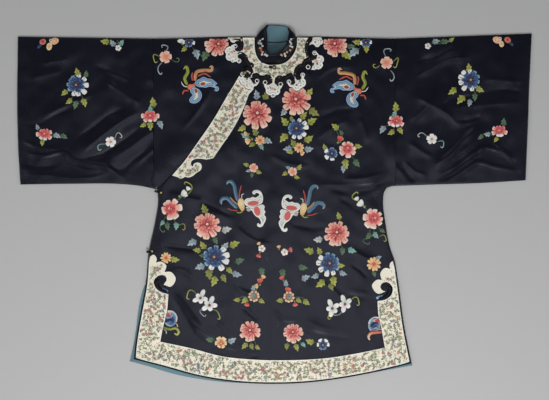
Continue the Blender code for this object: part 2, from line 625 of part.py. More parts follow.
def flat_piece(name, outline, low, thick, look, collection, hole=None):
    """A flat sheet with this outline, as a filled curve."""
    data = bpy.data.curves.new(name, "CURVE")
    data.dimensions = "2D"
    data.fill_mode = "BOTH"
    data.extrude = 0.5 * thick
    for points in filter(lambda rows: rows is not None, (outline, hole)):
        line = data.splines.new("POLY")
        line.points.add(len(points) - 1)
        for point, place in zip(line.points, points):
            point.co = (*place, 0.0, 1.0)
        line.use_cyclic_u = True
    item = add_object(name, data, look, collection)
    item.location.z = low + 0.5 * thick
    return item


def loft(name, grids, closed_across, look, collection):
    """A wall between an outer and an inner grid of points, joined along their rims. Both sides are
    divided along the same diagonals, so that they keep apart."""
    outer, inner = grids
    stations, across = outer.shape[:2]
    shape = bmesh.new()
    rows = [[[shape.verts.new(place) for place in line] for line in grid] for grid in grids]
    last = across if closed_across else across - 1
    for station in range(stations - 1):
        for column in range(last):
            after = (column + 1) % across
            for side, wall in enumerate(rows):
                near, far = wall[station], wall[station + 1]
                for face in ([near[column], near[after], far[after]],
                             [near[column], far[after], far[column]]):
                    shape.faces.new(face if side == 0 else face[::-1])
    for station in (0, stations - 1):
        for column in range(last):
            after = (column + 1) % across
            face = [rows[0][station][column], rows[0][station][after],
                    rows[1][station][after], rows[1][station][column]]
            shape.faces.new(face)
    if not closed_across:
        for column in (0, across - 1):
            for station in range(stations - 1):
                shape.faces.new([rows[0][station][column], rows[0][station + 1][column],
                                 rows[1][station + 1][column], rows[1][station][column]])
    bmesh.ops.recalc_face_normals(shape, faces=shape.faces[:])
    data = bpy.data.meshes.new(name)
    shape.to_mesh(data)
    shape.free()
    return add_object(name, data, look, collection)


def make_fronts(edges, borders, plan, collection):
    """The two fronts and what is sewn on them. Returns the heights of the main front's upper side."""
    rest = FRONT_LOW - seam_drop(plan.points, edges) + cloth_rise(plan.points, edges)
    lapped = rest + lap_rise(plan.points, edges)
    in_main = inside(plan.centres, edges.main)
    in_under = inside(plan.centres, edges.under)
    raised_piece("right_front", plan, in_under, rest, CLOTH, BLACK_SATIN, collection)
    raised_piece("main_front", plan, in_main, lapped, CLOTH, BLACK_SATIN, collection)

    def within(*outlines):
        return np.any([inside(plan.centres, outline) for outline in outlines], axis=0)

    neck = within(borders.ring) | (
        within(*borders.lobes, *borders.necks) & ~within(*borders.curls)
    )
    parting = offset(edges.opening, -PARTING)
    left_zone = np.vstack([parting, [(-0.2, parting[-1, 1]), (-0.2, 0.47), (parting[0, 0], 0.47)]])
    left_neck = neck & ~in_main & in_under & within(left_zone)
    on_main, on_under = lapped + CLOTH + GAP, rest + CLOTH + GAP
    bound = within(borders.binding) & in_main
    pieces = (
        ("neck_border_right", neck & in_main, on_main, CREAM_SILK),
        ("neck_border_left", left_neck, on_under, CREAM_SILK),
        ("closing_border", within(borders.closing), on_main, CREAM_SILK),
        ("slit_border_left", within(borders.left), on_main, CREAM_SILK),
        ("slit_border_right", within(borders.right), on_main, CREAM_SILK),
        ("hem_border", within(borders.hem), on_main, CREAM_SILK),
        ("hem_binding", bound, on_main, BLACK_BRAID),
    )
    for name, keep, low, look in pieces:
        raised_piece(name, plan, keep, low, TRIM, look, collection)
    return lapped + CLOTH


def inset_outline(chains, insets):
    """The outline that the chains make in turn, each moved inwards by its own inset."""
    whole = ring_of(join(*chains))
    kept = []
    for chain, inset in zip(chains, insets):
        moved = offset(chain, inset)
        kept.append(moved[nearest(moved, whole)[0] > 0.7 * inset])
    return join(*kept)


def make_back(edges, collection):
    """The back, the border let into it and the lining that lies on it."""
    neck = spline(BACK_NECKLINE, 0.016)[::-1]
    skirt = join(spline(BACK_LEFT_SLIT), spline(BACK_HEM), spline(BACK_RIGHT_SLIT))
    upper = (
        edges.right_seam, edges.right_join, edges.right_shoulder[::-1], neck,
        edges.left_shoulder[::-1], edges.left_join, join(edges.left_underarm, edges.left_seam),
    )
    frame = spline(BACK_BORDER_INNER)
    flat_piece("back_panel", join(*upper, offset(frame, GAP)), 0.0, CLOTH, BLACK_SATIN, collection)
    border = join(frame[:1], skirt[1:-1], frame[::-1])
    flat_piece("back_border", border, 0.0, CLOTH, CREAM_SILK, collection)
    seam, hem = LINING_INSET_SEAM, LINING_INSET_HEM
    around = (*upper[:3], neck[1:-1], *upper[4:], skirt[1:-1])
    lining = inset_outline(around, (seam, seam, seam, hem, seam, seam, seam, hem))
    flat_piece("back_lining", lining, LINING_LOW, LINING, TEAL_SILK, collection)


def sleeve_section(low_y, high_y, thickness):
    """A flattened tube seen from its end, as y and z: the upper side, its far edge, the lower side
    and its near edge. Thickness moves it inwards."""
    radius = 0.5 * (FRONT_LOW + CLOTH)
    upper = np.linspace(low_y + radius, high_y - radius, SLEEVE_TOP_POINTS)
    lower = np.linspace(high_y - radius, low_y + radius, SLEEVE_BOTTOM_POINTS)
    turns = np.linspace(0.0, math.pi, SLEEVE_EDGE_POINTS + 2)[1:-1]
    bend = radius - thickness
    far = [(high_y - radius + bend * math.sin(turn), radius + bend * math.cos(turn)) for turn in turns]
    near = [(low_y + radius - bend * math.sin(turn), radius - bend * math.cos(turn)) for turn in turns]
    return np.array([
        *[(y, 2 * radius - thickness) for y in upper], *far,
        *[(y, thickness) for y in lower], *near,
    ])


def make_sleeve(name, side, under, cuff, edges, collection):
    """A sleeve, one flattened tube from the seam at the shoulder to the cuff."""
    cuff_foot, cuff_top = cuff[0][1], cuff[-1][1]
    under_x, under_y = spline(under).T
    cuff_x, cuff_y = spline(cuff).T
    start = side * (SEAM_X + GAP)
    grids = []
    for thickness in (0.0, CLOTH):
        grid = []
        for part in np.linspace(0.0, 1.0, SLEEVE_STATIONS):
            foot_x = start + (cuff_x[0] - start) * part
            low_y = np.interp(side * foot_x, side * under_x, under_y)
            high_y = SHOULDER_Y + (cuff_top - SHOULDER_Y) * part
            section = sleeve_section(low_y, high_y, thickness)
            share = (section[:, 0] - low_y) / (high_y - low_y)
            reach = np.interp(cuff_foot + share * (cuff_top - cuff_foot), cuff_y, cuff_x)
            x = start + (reach - start) * part
            places = np.stack([x, section[:, 0]], axis=1)
            rise = cloth_rise(places, edges) * (section[:, 1] > 0.5 * (FRONT_LOW + CLOTH))
            rise[SLEEVE_TOP_POINTS:] = 0.0
            grid.append(np.column_stack([places, section[:, 1] + rise]))
        grids.append(np.array(grid))
    loft(name, grids, True, BLACK_SATIN, collection)


def collar_surface():
    """Points and outward directions of the collar's middle surface, by station and row."""
    knots = np.array(COLLAR)
    padded = np.vstack([2 * knots[0] - knots[1], knots, 2 * knots[-1] - knots[-2]])
    rows = []
    for span in range(len(knots) - 1):
        before, start, end, after = padded[span : span + 4]
        for part in np.arange(COLLAR_PARTS) / COLLAR_PARTS:
            rows.append(0.5 * (
                2 * start + (end - before) * part
                + (2 * before - 5 * start + 4 * end - after) * part**2
                + (3 * start - before - 3 * end + after) * part**3
            ))
    rows = np.array([*rows, knots[-1]])
    base, top, swell = rows[:, None, 0:3], rows[:, None, 3:6], rows[:, None, 6:7]
    up = np.linspace(0.0, 1.0, COLLAR_ROWS)[None, :, None]

    def outward(surface):
        direction = np.cross(np.gradient(surface, axis=1), np.gradient(surface, axis=0))
        return direction / np.linalg.norm(direction, axis=2, keepdims=True)

    straight = base + (top - base) * up
    swollen = straight + outward(straight) * swell * 4 * up * (1 - up)
    return swollen, outward(swollen)


def make_collar(collection):
    surface, out = collar_surface()
    band = [surface + out * (WALL_GAP + CLOTH), surface + out * WALL_GAP]
    back, up = surface[LINED_STATIONS], out[LINED_STATIONS]
    lining = [back - up * WALL_GAP, back - up * (WALL_GAP + LINING)]
    loft("collar_band", band, False, BLACK_SATIN, collection)
    loft("collar_lining", lining, False, TEAL_SILK, collection)


def make_button(name, row, plan, heights, edges, collection):
    """A ball button and the cord loop round its foot."""
    x, y, direction, length, border = row
    turn = math.radians(direction)
    out = np.array([math.cos(turn), math.sin(turn)])
    side = np.array([-out[1], out[0]])
    centre = np.array([x, y])
    arc = np.linspace(0.6 * math.pi, -0.6 * math.pi, LOOP_ARC_POINTS)
    path = [centre - LOOP_RADIUS * (out * math.cos(a) - side * math.sin(a)) for a in arc]
    path += [centre + out * length + side * aside for aside in (-0.0017, 0.0017)]
    near = [*path, centre, *(centre + 0.5 * (np.array(path) - centre))]
    inner = [place for place in near if inside(place[None], edges.main)[0]]
    seat = max(plan.height_at(heights, place) for place in inner) + border + GAP
    shape = bmesh.new()
    bmesh.ops.create_uvsphere(
        shape, u_segments=BALL_SEGMENTS, v_segments=BALL_RINGS, radius=BALL_RADIUS
    )
    data = bpy.data.meshes.new(f"button_{name}")
    shape.to_mesh(data)
    shape.free()
    data.shade_smooth()
    ball = add_object(f"button_{name}", data, BRASS, collection)
    ball.location = (x, y, seat + BALL_RADIUS)
    curve = bpy.data.curves.new(f"loop_{name}", "CURVE")
    curve.dimensions = "3D"
    curve.bevel_depth = CORD_RADIUS
    curve.bevel_resolution = 1
    line = curve.splines.new("POLY")
    line.points.add(len(path) - 1)
    for point, place in zip(line.points, path):
        point.co = (*place, seat + CORD_RADIUS, 1.0)
    line.use_cyclic_u = True
    add_object(f"loop_{name}", curve, BLACK_BRAID, collection)


def main():
    clear_scene()
    collection = bpy.data.collections.new("silk_jacket")
    bpy.context.scene.collection.children.link(collection)
    edges = Outlines()
    borders = Borders(edges)
    plan = Plan(edges, borders)
    heights = make_fronts(edges, borders, plan, collection)
    make_back(edges, collection)
    make_sleeve("sleeve_right", -1.0, LEFT_SLEEVE_UNDER, LEFT_CUFF, edges, collection)
    make_sleeve("sleeve_left", 1.0, RIGHT_SLEEVE_UNDER, RIGHT_CUFF, edges, collection)
    make_collar(collection)
    for name, row in BUTTONS.items():
        make_button(name, row, plan, heights, edges, collection)


main()
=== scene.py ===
"""Looks of a black satin side-fastening jacket that lies flat, front up: cloth, cream borders, piping,
black scroll pieces, silk embroidery, collar and ball buttons. Lengths are in metres unless said."""

import json
import math
from functools import cache

import bmesh
import bpy
import numpy as np
from bpy.props import FloatProperty, FloatVectorProperty, IntProperty, PointerProperty
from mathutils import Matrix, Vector, geometry
from mathutils.bvhtree import BVHTree
from mathutils.kdtree import KDTree

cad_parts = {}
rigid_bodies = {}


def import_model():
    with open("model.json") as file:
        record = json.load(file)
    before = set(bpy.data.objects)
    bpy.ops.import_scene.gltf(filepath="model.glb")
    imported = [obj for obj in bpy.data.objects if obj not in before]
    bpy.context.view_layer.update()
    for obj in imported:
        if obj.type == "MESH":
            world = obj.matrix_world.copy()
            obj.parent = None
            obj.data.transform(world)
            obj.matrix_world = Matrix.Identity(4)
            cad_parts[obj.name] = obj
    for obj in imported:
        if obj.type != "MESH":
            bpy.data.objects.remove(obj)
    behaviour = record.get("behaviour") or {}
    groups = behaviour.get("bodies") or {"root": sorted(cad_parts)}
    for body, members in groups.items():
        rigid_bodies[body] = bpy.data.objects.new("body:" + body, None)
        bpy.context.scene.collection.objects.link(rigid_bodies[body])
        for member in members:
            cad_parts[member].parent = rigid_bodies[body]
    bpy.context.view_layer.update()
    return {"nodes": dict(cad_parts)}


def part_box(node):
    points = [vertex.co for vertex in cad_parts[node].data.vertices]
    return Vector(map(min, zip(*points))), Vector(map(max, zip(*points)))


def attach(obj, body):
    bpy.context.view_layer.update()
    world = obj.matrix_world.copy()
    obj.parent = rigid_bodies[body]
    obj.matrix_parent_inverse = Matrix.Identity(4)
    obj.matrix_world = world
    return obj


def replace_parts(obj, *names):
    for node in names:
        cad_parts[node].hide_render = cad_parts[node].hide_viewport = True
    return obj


bl_info = {
    "name": "Satin jacket laid flat",
    "version": (1, 0, 0),
    "blender": (4, 5, 0),
    "location": "View3D > Sidebar > Jacket",
    "description": "Builds the cloth, borders, embroidery and fastenings of a flat satin jacket",
    "category": "Object",
}

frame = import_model()
BODY = "root"
MM = 0.001

# What the photograph frames: the middle of the view and its width on the floor.
VIEW_CENTRE = (0.0, 0.0122)
VIEW_WIDTH = 1.5196
FOCAL_LENGTH = 90.0
SENSOR_WIDTH = 36.0

SEAM_X = 0.335
SHOULDER_Y = 0.4592
# The sleeves' edges in plan, from the seam outwards and from the cuff's foot up.
RIGHT_UNDER = ((-SEAM_X, 0.0437), (-0.3700, 0.0510), (-0.4280, 0.0565), (-0.5700, 0.0570),
               (-0.7030, 0.0550))
RIGHT_CUFF = ((-0.7030, 0.0550), (-0.7090, 0.1500), (-0.7118, 0.2600), (-0.7100, 0.4648))
LEFT_UNDER = ((SEAM_X, 0.0512), (0.4415, 0.0550), (0.5690, 0.0590), (0.6950, 0.0667))
LEFT_CUFF = ((0.6950, 0.0667), (0.7010, 0.2170), (0.7060, 0.3500), (0.7118, 0.4730))
TUBE_MIDDLE = 0.0023
TUBE_EDGE = 0.0045

# The collar's middle surface from its left end round the back to its right end.
# Columns: base x, y, z, top x, y, z, swell of the wall between them.
COLLAR = (
    (-0.0012, 0.3894, 0.0044, -0.0022, 0.4112, 0.0360, 0.0020),
    (-0.0321, 0.3937, 0.0042, -0.0150, 0.4135, 0.0350, 0.0030),
    (-0.0472, 0.4150, 0.0042, -0.0205, 0.4270, 0.0320, 0.0040),
    (-0.0516, 0.4372, 0.0042, -0.0205, 0.4460, 0.0270, 0.0040),
    (-0.0518, 0.4540, 0.0042, -0.0205, 0.4660, 0.0200, 0.0040),
    (-0.0500, 0.4618, 0.0034, -0.0235, 0.4880, 0.0115, 0.0040),
    (-0.0445, 0.4594, 0.0022, -0.0200, 0.4955, 0.0055, 0.0000),
    (-0.0320, 0.4541, 0.0020, -0.0110, 0.4963, 0.0046, 0.0000),
    (-0.0150, 0.4508, 0.0019, -0.0020, 0.4963, 0.0044, 0.0000),
    (0.0040, 0.4497, 0.0019, 0.0080, 0.4960, 0.0044, 0.0000),
    (0.0230, 0.4508, 0.0019, 0.0190, 0.4950, 0.0046, 0.0000),
    (0.0400, 0.4541, 0.0020, 0.0300, 0.4925, 0.0055, 0.0000),
    (0.0520, 0.4594, 0.0022, 0.0395, 0.4875, 0.0075, 0.0000),
    (0.0578, 0.4620, 0.0034, 0.0425, 0.4790, 0.0135, 0.0040),
    (0.0596, 0.4540, 0.0042, 0.0385, 0.4640, 0.0220, 0.0040),
    (0.0576, 0.4363, 0.0042, 0.0340, 0.4440, 0.0290, 0.0040),
    (0.0443, 0.4100, 0.0042, 0.0215, 0.4255, 0.0340, 0.0040),
    (0.0250, 0.3936, 0.0050, 0.0085, 0.4160, 0.0355, 0.0030),
    (-0.0004, 0.3896, 0.0060, -0.0012, 0.4112, 0.0360, 0.0020),
)
COLLAR_PARTS = 6
COLLAR_ROWS = 14
LINED_ROWS = (6.5, 11.5)

CREAM_PIECES = ("neck_border_right", "neck_border_left", "closing_border", "slit_border_left",
                "slit_border_right", "hem_border")
CLOTH_PIECES = ("main_front", "right_front", "sleeve_right", "sleeve_left", "back_lining", "back_panel")

FLOOR_HALF, FLOOR_Z = 6.0, -0.0005
LINING_WALL, BORDER_WALL, BINDING_WALL, COLLAR_WALL = 0.0008, 0.0008, 0.0006, 0.0012
BINDING_HEIGHT = 0.0013
# The distance from a ball's middle to where its loop's two legs meet.
LOOP_EYE = 0.0075
WHITE_SILK = (0.86, 0.85, 0.80)
# A wave texture's scale times the pitch of its bands.
WAVES_A_PITCH = 0.31416
# Needlework: how deep it is rooted, how far it stays from a fold, its finest step, the softness
# of the line between two rows of colour, the rings of a domed shape, the heights of the first two,
# and the height of every shape's rim.
ROOT_DEPTH, FOLD_MARGIN, FINEST_STEP, BAND_SOFTNESS = 0.00025, 0.0005, 0.0021, 0.00035
DOME_RINGS, DOME_HEIGHTS, RIM_HEIGHT = (0.52, 0.84, 1.0), (0.86, 0.52), 0.10


# ---------------------------------------------------------------- sizes and colours

def metres(name, text, default, low, high, precision=4):
    return FloatProperty(name=name, description=text, default=default, min=low, max=high,
                         unit="LENGTH", precision=precision)


def watts(name, text, default):
    return FloatProperty(name=name, description=text, default=default, min=0.0, subtype="POWER",
                         unit="POWER")


def colour(name, text, value):
    return FloatVectorProperty(
        name=name, description=text, subtype="COLOR", size=3, default=value, min=0.0, max=1.0)


class JacketCloth(bpy.types.PropertyGroup):
    """Sizes of the cloth and its creases."""
    wall: metres("Cloth thickness", "Thickness of a satin panel", 0.0009, 0.0003, 0.0014)
    step: metres("Mesh step", "Distance between the points of a panel", 0.0049, 0.003, 0.02)
    crease: metres("Crease depth", "Height of the fine creases", 0.0010, 0.0, 0.003)
    folds: FloatProperty(
        name="Fold depth", description="Share of the folds' full height", default=1.0, min=0.0, max=1.5)
    roll: metres("Edge roll", "Depth to which a turned edge rolls down", 0.0007, 0.0, 0.0012)


class JacketTrim(bpy.types.PropertyGroup):
    """Sizes of the borders, cords and buttons."""
    border: metres("Border height", "Height of a cream border over the satin", 0.0012, 0.0004, 0.002)
    piping: metres("Piping radius", "Radius of the black piping round the borders", 0.0008, 0.0003, 0.002)
    cord: metres("White cord radius", "Radius of the white cord inside the piping", 0.0008, 0.0003, 0.002)
    ball: metres("Button radius", "Radius of a ball button", 0.0042, 0.003, 0.006)
    stitch: metres("Stitch pitch", "Distance from one stitch to the next", 0.0060, 0.002, 0.02)


class JacketNeedlework(bpy.types.PropertyGroup):
    """Sizes of the embroidery."""
    relief: metres("Relief", "Height of the stitched shapes over the cloth", 0.00055, 0.0002, 0.001, 5)
    sprig_spacing: metres("Sprig spacing", "Least distance between sprigs on the cream borders",
                          0.0145, 0.006, 0.05)
    seed: IntProperty(name="Seed", description="Seed of what is strewn at random", default=7, min=0)


class JacketColours(bpy.types.PropertyGroup):
    """Colours of the finishes."""
    satin: colour("Satin", "Black satin ground", (0.0027, 0.0025, 0.0064))
    cream: colour("Cream", "Cream silk of the borders", (0.715, 0.670, 0.540))
    teal: colour("Teal", "Blue-green lining", (0.071, 0.152, 0.184))
    braid: colour("Braid", "Black binding, piping and loops", (0.010, 0.009, 0.013))
    gilt: colour("Gilt", "Gilt of the ball buttons", (0.60, 0.44, 0.19))
    floor: colour("Floor", "Plain surface under the jacket", (0.44, 0.44, 0.435))


class JacketStage(bpy.types.PropertyGroup):
    """Strength of the lights."""
    over_light: watts("Light above", "Power of the light by the camera that the satin mirrors", 11.5)
    foot_light: watts("Light at the hem", "Power of the soft light beyond the hem", 42.0)
    head_light: watts("Light at the collar", "Power of the soft light beyond the collar", 8.2)
    side_light: watts("Lights at the sleeves", "Power of each side light", 22.0)
    room_light: FloatProperty(name="Room light", description="Strength of the light from all round",
                              default=0.17, min=0.0)


# ---------------------------------------------------------------- plan helpers

def smoothstep(value):
    value = np.clip(value, 0.0, 1.0)
    return value * value * (3.0 - 2.0 * value)


def unit(rows, least=1e-9):
    """The rows, each made one long."""
    return rows / np.maximum(np.linalg.norm(rows, axis=-1, keepdims=True), least)


def left_of(rows):
    """Each row in plan, turned a quarter to the left."""
    return np.stack([-rows[..., 1], rows[..., 0]], axis=-1)


def cross(first, second):
    """The signed area that each pair of rows in plan spans."""
    return first[:, 0] * second[:, 1] - first[:, 1] * second[:, 0]


def turned(rows, degrees):
    """The rows in plan, turned anticlockwise about the origin."""
    cos, sin = math.cos(math.radians(degrees)), math.sin(math.radians(degrees))
    return rows @ np.array([[cos, sin], [-sin, cos]])


def heading(degrees):
    """The unit vector in a direction."""
    turn = math.radians(degrees)
    return np.array([math.cos(turn), math.sin(turn)])


def bearing(way):
    """The direction of a vector in plan, in degrees."""
    return math.degrees(math.atan2(way[1], way[0]))


def anticlockwise(ring):
    return ring[::-1] if cross(ring, np.roll(ring, -1, axis=0)).sum() < 0 else ring


def runs(points, kept, least=2):
    """The stretches of points that are kept, of at least this many points each."""
    cuts = np.flatnonzero(np.diff(kept)) + 1
    return [part for part, good in zip(np.split(points, cuts), np.split(kept, cuts))
            if good[0] and len(part) >= least]


def spline(rows, step=0.004, closed=False, corners=()):
    """A smooth curve through the rows, with a sharp turn at each corner's index."""
    knots = np.array([row[:2] for row in rows], float)
    if closed:
        knots = np.vstack([knots, knots[:1]])
    chords = np.diff(knots, axis=0)
    lengths = np.maximum(np.linalg.norm(chords, axis=1), 1e-9)
    slopes = chords / lengths[:, None]
    spans = len(lengths)
    sharp = set(corners) if closed else {*corners, 0, spans}

    def carried(knot, span):
        """How a knot's slope carries into a span: less far where the span beside it is short."""
        if (knot % spans if closed else knot) in sharp:
            return slopes[span] * lengths[span]
        last, following = knot - 1, knot % spans
        mixed = slopes[last] * lengths[following] + slopes[following] * lengths[last]
        slope = mixed / (lengths[last] + lengths[following])
        return slope * min(lengths[span], 2.0 * min(lengths[last], lengths[following]))

    points = []
    for span in range(spans):
        start, end = carried(span, span), carried(span + 1, span)
        count = max(1, int(math.ceil(lengths[span] / step)))
        part = (np.arange(count) / count)[:, None]
        square, cube = part**2, part**3
        points.append(
            knots[span] * (2 * cube - 3 * square + 1) + knots[span + 1] * (3 * square - 2 * cube)
            + start * (cube - 2 * square + part) + end * (cube - square))
    return np.vstack(points if closed else [*points, knots[-1:]])


def offset(chain, distance, closed=False):
    """The chain moved to its left by the distance."""
    along = np.roll(chain, -1, axis=0) - np.roll(chain, 1, axis=0) if closed else np.gradient(chain, axis=0)
    return chain + distance * left_of(unit(along))


def drop_close(chain, least):
    """The chain without points that come closer to the one before than the least distance."""
    kept = [chain[0]]
    for point in chain[1:]:
        if np.linalg.norm(point - kept[-1]) > least:
            kept.append(point)
    return np.array(kept)


def inside(points, rings):
    """Which points lie inside the rings, taken together by the even-odd rule."""
    starts = np.vstack(rings)
    ends = np.vstack([np.roll(ring, -1, axis=0) for ring in rings])
    found = np.zeros(len(points), bool)
    for first in range(0, len(points), 4000):
        x, y = points[first:first + 4000, 0, None], points[first:first + 4000, 1, None]
        crosses = (starts[:, 1] > y) != (ends[:, 1] > y)
        rise = np.where(crosses, ends[:, 1] - starts[:, 1], 1.0)
        at = starts[:, 0] + (y - starts[:, 1]) * (ends[:, 0] - starts[:, 0]) / rise
        found[first:first + 4000] = (crosses & (x < at)).sum(axis=1) % 2 == 1
    return found


class Near:
    """Distances from a set of points in plan."""

    def __init__(self, points):
        self.tree = KDTree(len(points))
        for row, point in enumerate(points):
            self.tree.insert((*point[:2], 0.0), row)
        self.tree.balance()

    def away(self, places):
        return np.array([self.tree.find((*place[:2], 0.0))[2] for place in places])

    def row(self, places):
        return np.array([self.tree.find((*place[:2], 0.0))[1] for place in places])


def dense(chain, step=0.0008, closed=True):
    """The chain with extra points on its straight stretches."""
    following = np.roll(chain, -1, axis=0) if closed else chain[1:]
    parts = []
    for start, end in zip(chain, following):
        count = max(1, int(np.linalg.norm(end - start) / step))
        parts.append(start + (end - start) * (np.arange(count) / count)[:, None])
    return np.vstack(parts)


def corners_of(points, triangles):
    """The first, second and third corners of the triangles."""
    return (points[triangles[:, corner]] for corner in range(3))


def fill(rings, step, lines=()):
    """Points and triangles that fill the rings. Lines are chains that the edges keep to."""
    everything = np.vstack(rings)
    low, high = everything.min(axis=0), everything.max(axis=0)
    height = step * math.sqrt(3) / 2
    columns = np.arange(low[0], high[0] + step, step)
    levels = np.arange(low[1], high[1] + height, height)
    grid = np.vstack([
        np.stack([columns + (row % 2) * step / 2, np.full(len(columns), level)], axis=1)
        for row, level in enumerate(levels)])
    grid = grid[inside(grid, rings)]
    held = [dense(ring) for ring in rings] + [dense(line, closed=False) for line in lines]
    grid = grid[Near(np.vstack(held)).away(grid) > 0.5 * step]
    points, pairs = [], []
    for chain, closed in (*((ring, True) for ring in rings), *((line, False) for line in lines)):
        first, count = len(points), len(chain)
        points += list(chain)
        pairs += [(first + row, first + (row + 1) % count) for row in range(count - (not closed))]
    points += list(grid)
    found = geometry.delaunay_2d_cdt([Vector(point * 1000.0) for point in points], pairs, [], 0, 1e-3)
    plan = np.array([tuple(point) for point in found[0]]) / 1000.0
    triangles = np.array([list(face) for face in found[2]])
    triangles = triangles[inside(plan[triangles].mean(axis=1), rings)]
    a, b, c = corners_of(plan, triangles)
    flipped = cross(b - a, c - a) < 0
    triangles[flipped] = triangles[flipped][:, ::-1]
    used, back = np.unique(triangles, return_inverse=True)
    return plan[used], back.reshape(-1, 3)


def edges_of(triangles):
    """Each edge once, and which of them have one triangle only."""
    pairs = np.vstack([triangles[:, [0, 1]], triangles[:, [1, 2]], triangles[:, [2, 0]]])
    edges, counts = np.unique(np.sort(pairs, axis=1), axis=0, return_counts=True)
    return edges, counts == 1


def relax(values, triangles, rounds):
    """The values, each drawn towards its neighbours' mean for some rounds."""
    edges, count = edges_of(triangles)[0], len(values)
    ends = np.concatenate([edges[:, 0], edges[:, 1]])
    others = np.concatenate([edges[:, 1], edges[:, 0]])
    degree = np.maximum(np.bincount(ends, minlength=count), 1)
    for _ in range(rounds):
        mean = np.bincount(ends, weights=values[others], minlength=count) / degree
        values = 0.5 * values + 0.5 * mean
    return values


class Surface:
    """What lies on top, looked at from above: points and faces of one or more pieces."""

    def __init__(self, parts):
        points, faces, first = [], [], 0
        for some_points, some_faces in parts:
            points += [tuple(point) for point in some_points]
            faces += [tuple(int(corner) + first for corner in face) for face in some_faces]
            first = len(points)
        self.tree = BVHTree.FromPolygons(points, faces)

    def height(self, places):
        """The height at each place. Beside the surface it is that of the nearest point."""
        heights = np.empty(len(places))
        down = Vector((0.0, 0.0, -1.0))
        for row, place in enumerate(places):
            hit = self.tree.ray_cast(Vector((place[0], place[1], 0.3)), down)[0]
            if hit is None:
                hit = self.tree.find_nearest(Vector((place[0], place[1], 0.006)))[0]
            heights[row] = hit.z
        return heights


def welded(node):
    """Points and triangles of a merged copy of a frame node."""
    data = frame["nodes"][node].data
    points = np.empty(len(data.vertices) * 3)
    data.vertices.foreach_get("co", points)
    data.calc_loop_triangles()
    corners = np.empty(len(data.loop_triangles) * 3, int)
    data.loop_triangles.foreach_get("vertices", corners)
    merged, back = np.unique(points.reshape(-1, 3).round(6), axis=0, return_inverse=True)
    triangles = back.reshape(-1)[corners].reshape(-1, 3)
    a, b, c = triangles.T
    return merged, triangles[(a != b) & (b != c) & (c != a)]


def top_rings(node, step=0.004):
    """The edges of a node's upper side in plan, smoothed, the longest first."""
    points, triangles = welded(node)
    a, b, c = corners_of(points, triangles)
    upper = triangles[unit(np.cross(b - a, c - a), 1e-15)[:, 2] > 0.3]
    directed = dict.fromkeys(pair for face in upper for pair in zip(face, np.roll(face, -1)))
    following = {start: end for start, end in directed if (end, start) not in directed}
    rings = []
    while following:
        start, end = following.popitem()
        ring = [start]
        while end != start and end in following:
            ring.append(end)
            end = following.pop(end)
        if len(ring) > 3:
            rings.append(rounded(points[ring, :2], step))
    return sorted(rings, key=lambda ring: -np.abs(np.ptp(ring, axis=0)).sum())


def turns(ring):
    """How sharply a ring turns at each of its points, in degrees."""
    before, after = ring - np.roll(ring, 1, axis=0), np.roll(ring, -1, axis=0) - ring
    return np.abs(np.degrees(np.arctan2(cross(before, after), (before * after).sum(axis=1))))


def rounded(ring, step, sharpest=38.0, shortest=0.0022):
    """A ring drawn as a smooth curve that keeps its sharp corners."""
    count, turn = len(ring), turns(ring)
    reach = np.min([np.linalg.norm(ring - np.roll(ring, shift, axis=0), axis=1) for shift in (1, -1)], axis=0)
    keep = np.ones(count, bool)
    for row in np.argsort(reach):
        beside = [(row - 1) % count, (row + 1) % count]
        if reach[row] < shortest and turn[row] < sharpest and keep[beside].all():
            keep[row] = False
    ring = ring[keep]
    return spline(ring, step, closed=True, corners=np.flatnonzero(turns(ring) > sharpest))


# ---------------------------------------------------------------- objects

def set_out(name, data):
    """A piece made of this mesh, which rides on the jacket."""
    item = bpy.data.objects.new(name, data)
    bpy.context.scene.collection.objects.link(item)
    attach(item, BODY)
    return item


def add_piece(name, points, faces, look, wall=None, node=None):
    """A smooth mesh piece with one finish. It may get a wall and replace a frame node."""
    data = bpy.data.meshes.new(name)
    data.from_pydata([tuple(point) for point in points], [], [tuple(map(int, face)) for face in faces])
    data.materials.append(LOOKS[look])
    data.shade_smooth()
    item = set_out(name, data)
    if wall:
        shell = item.modifiers.new("wall", "SOLIDIFY")
        shell.thickness, shell.offset, shell.use_even_offset = wall, -1.0, False
    if node:
        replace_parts(item, node)
    return item


def plan_area(points, triangles):
    a, b, c = corners_of(points, triangles)
    return float(np.abs(cross(b - a, c - a)).sum() / 2)


def cut_size(points):
    """Width and length of the smallest rectangle that the plan is cut from."""
    sizes = [np.ptp(turned(points[:, :2], -turn), axis=0) + 0.002 for turn in range(0, 90, 3)]
    return sorted(min(sizes, key=np.prod))


def sheet_of(points, triangles):
    """Works out the plan area and the cut size of a piece laid on others, from its own plan; nothing is done
    with them.
    """
    area = plan_area(points, triangles)
    width, length = cut_size(points)
    width = min(width, 3.0 * area / length)


# ---------------------------------------------------------------- finishes

def put(tree, kind, inputs=(), **settings):
    """Adds a node. Inputs maps each socket to a value or to another node's output."""
    node = tree.nodes.new(kind)
    for key, value in settings.items():
        setattr(node, key, value)
    for key, value in dict(inputs).items():
        if isinstance(value, bpy.types.NodeSocket):
            tree.links.new(value, node.inputs[key])
        else:
            node.inputs[key].default_value = value
    return node


def maths(tree, operation, *values):
    return put(tree, "ShaderNodeMath", dict(enumerate(values)), operation=operation).outputs[0]


def blend(tree, share, first, second, kind="MIX"):
    """A mix of two colours."""
    return put(tree, "ShaderNodeMix", {0: share, 6: first, 7: second}, data_type="RGBA",
               blend_type=kind).outputs[2]


def spread(tree, value, low, high):
    """The value, 0 to 1, moved to the range from low to high."""
    return put(tree, "ShaderNodeMapRange", {0: value, 3: low, 4: high}).outputs[0]


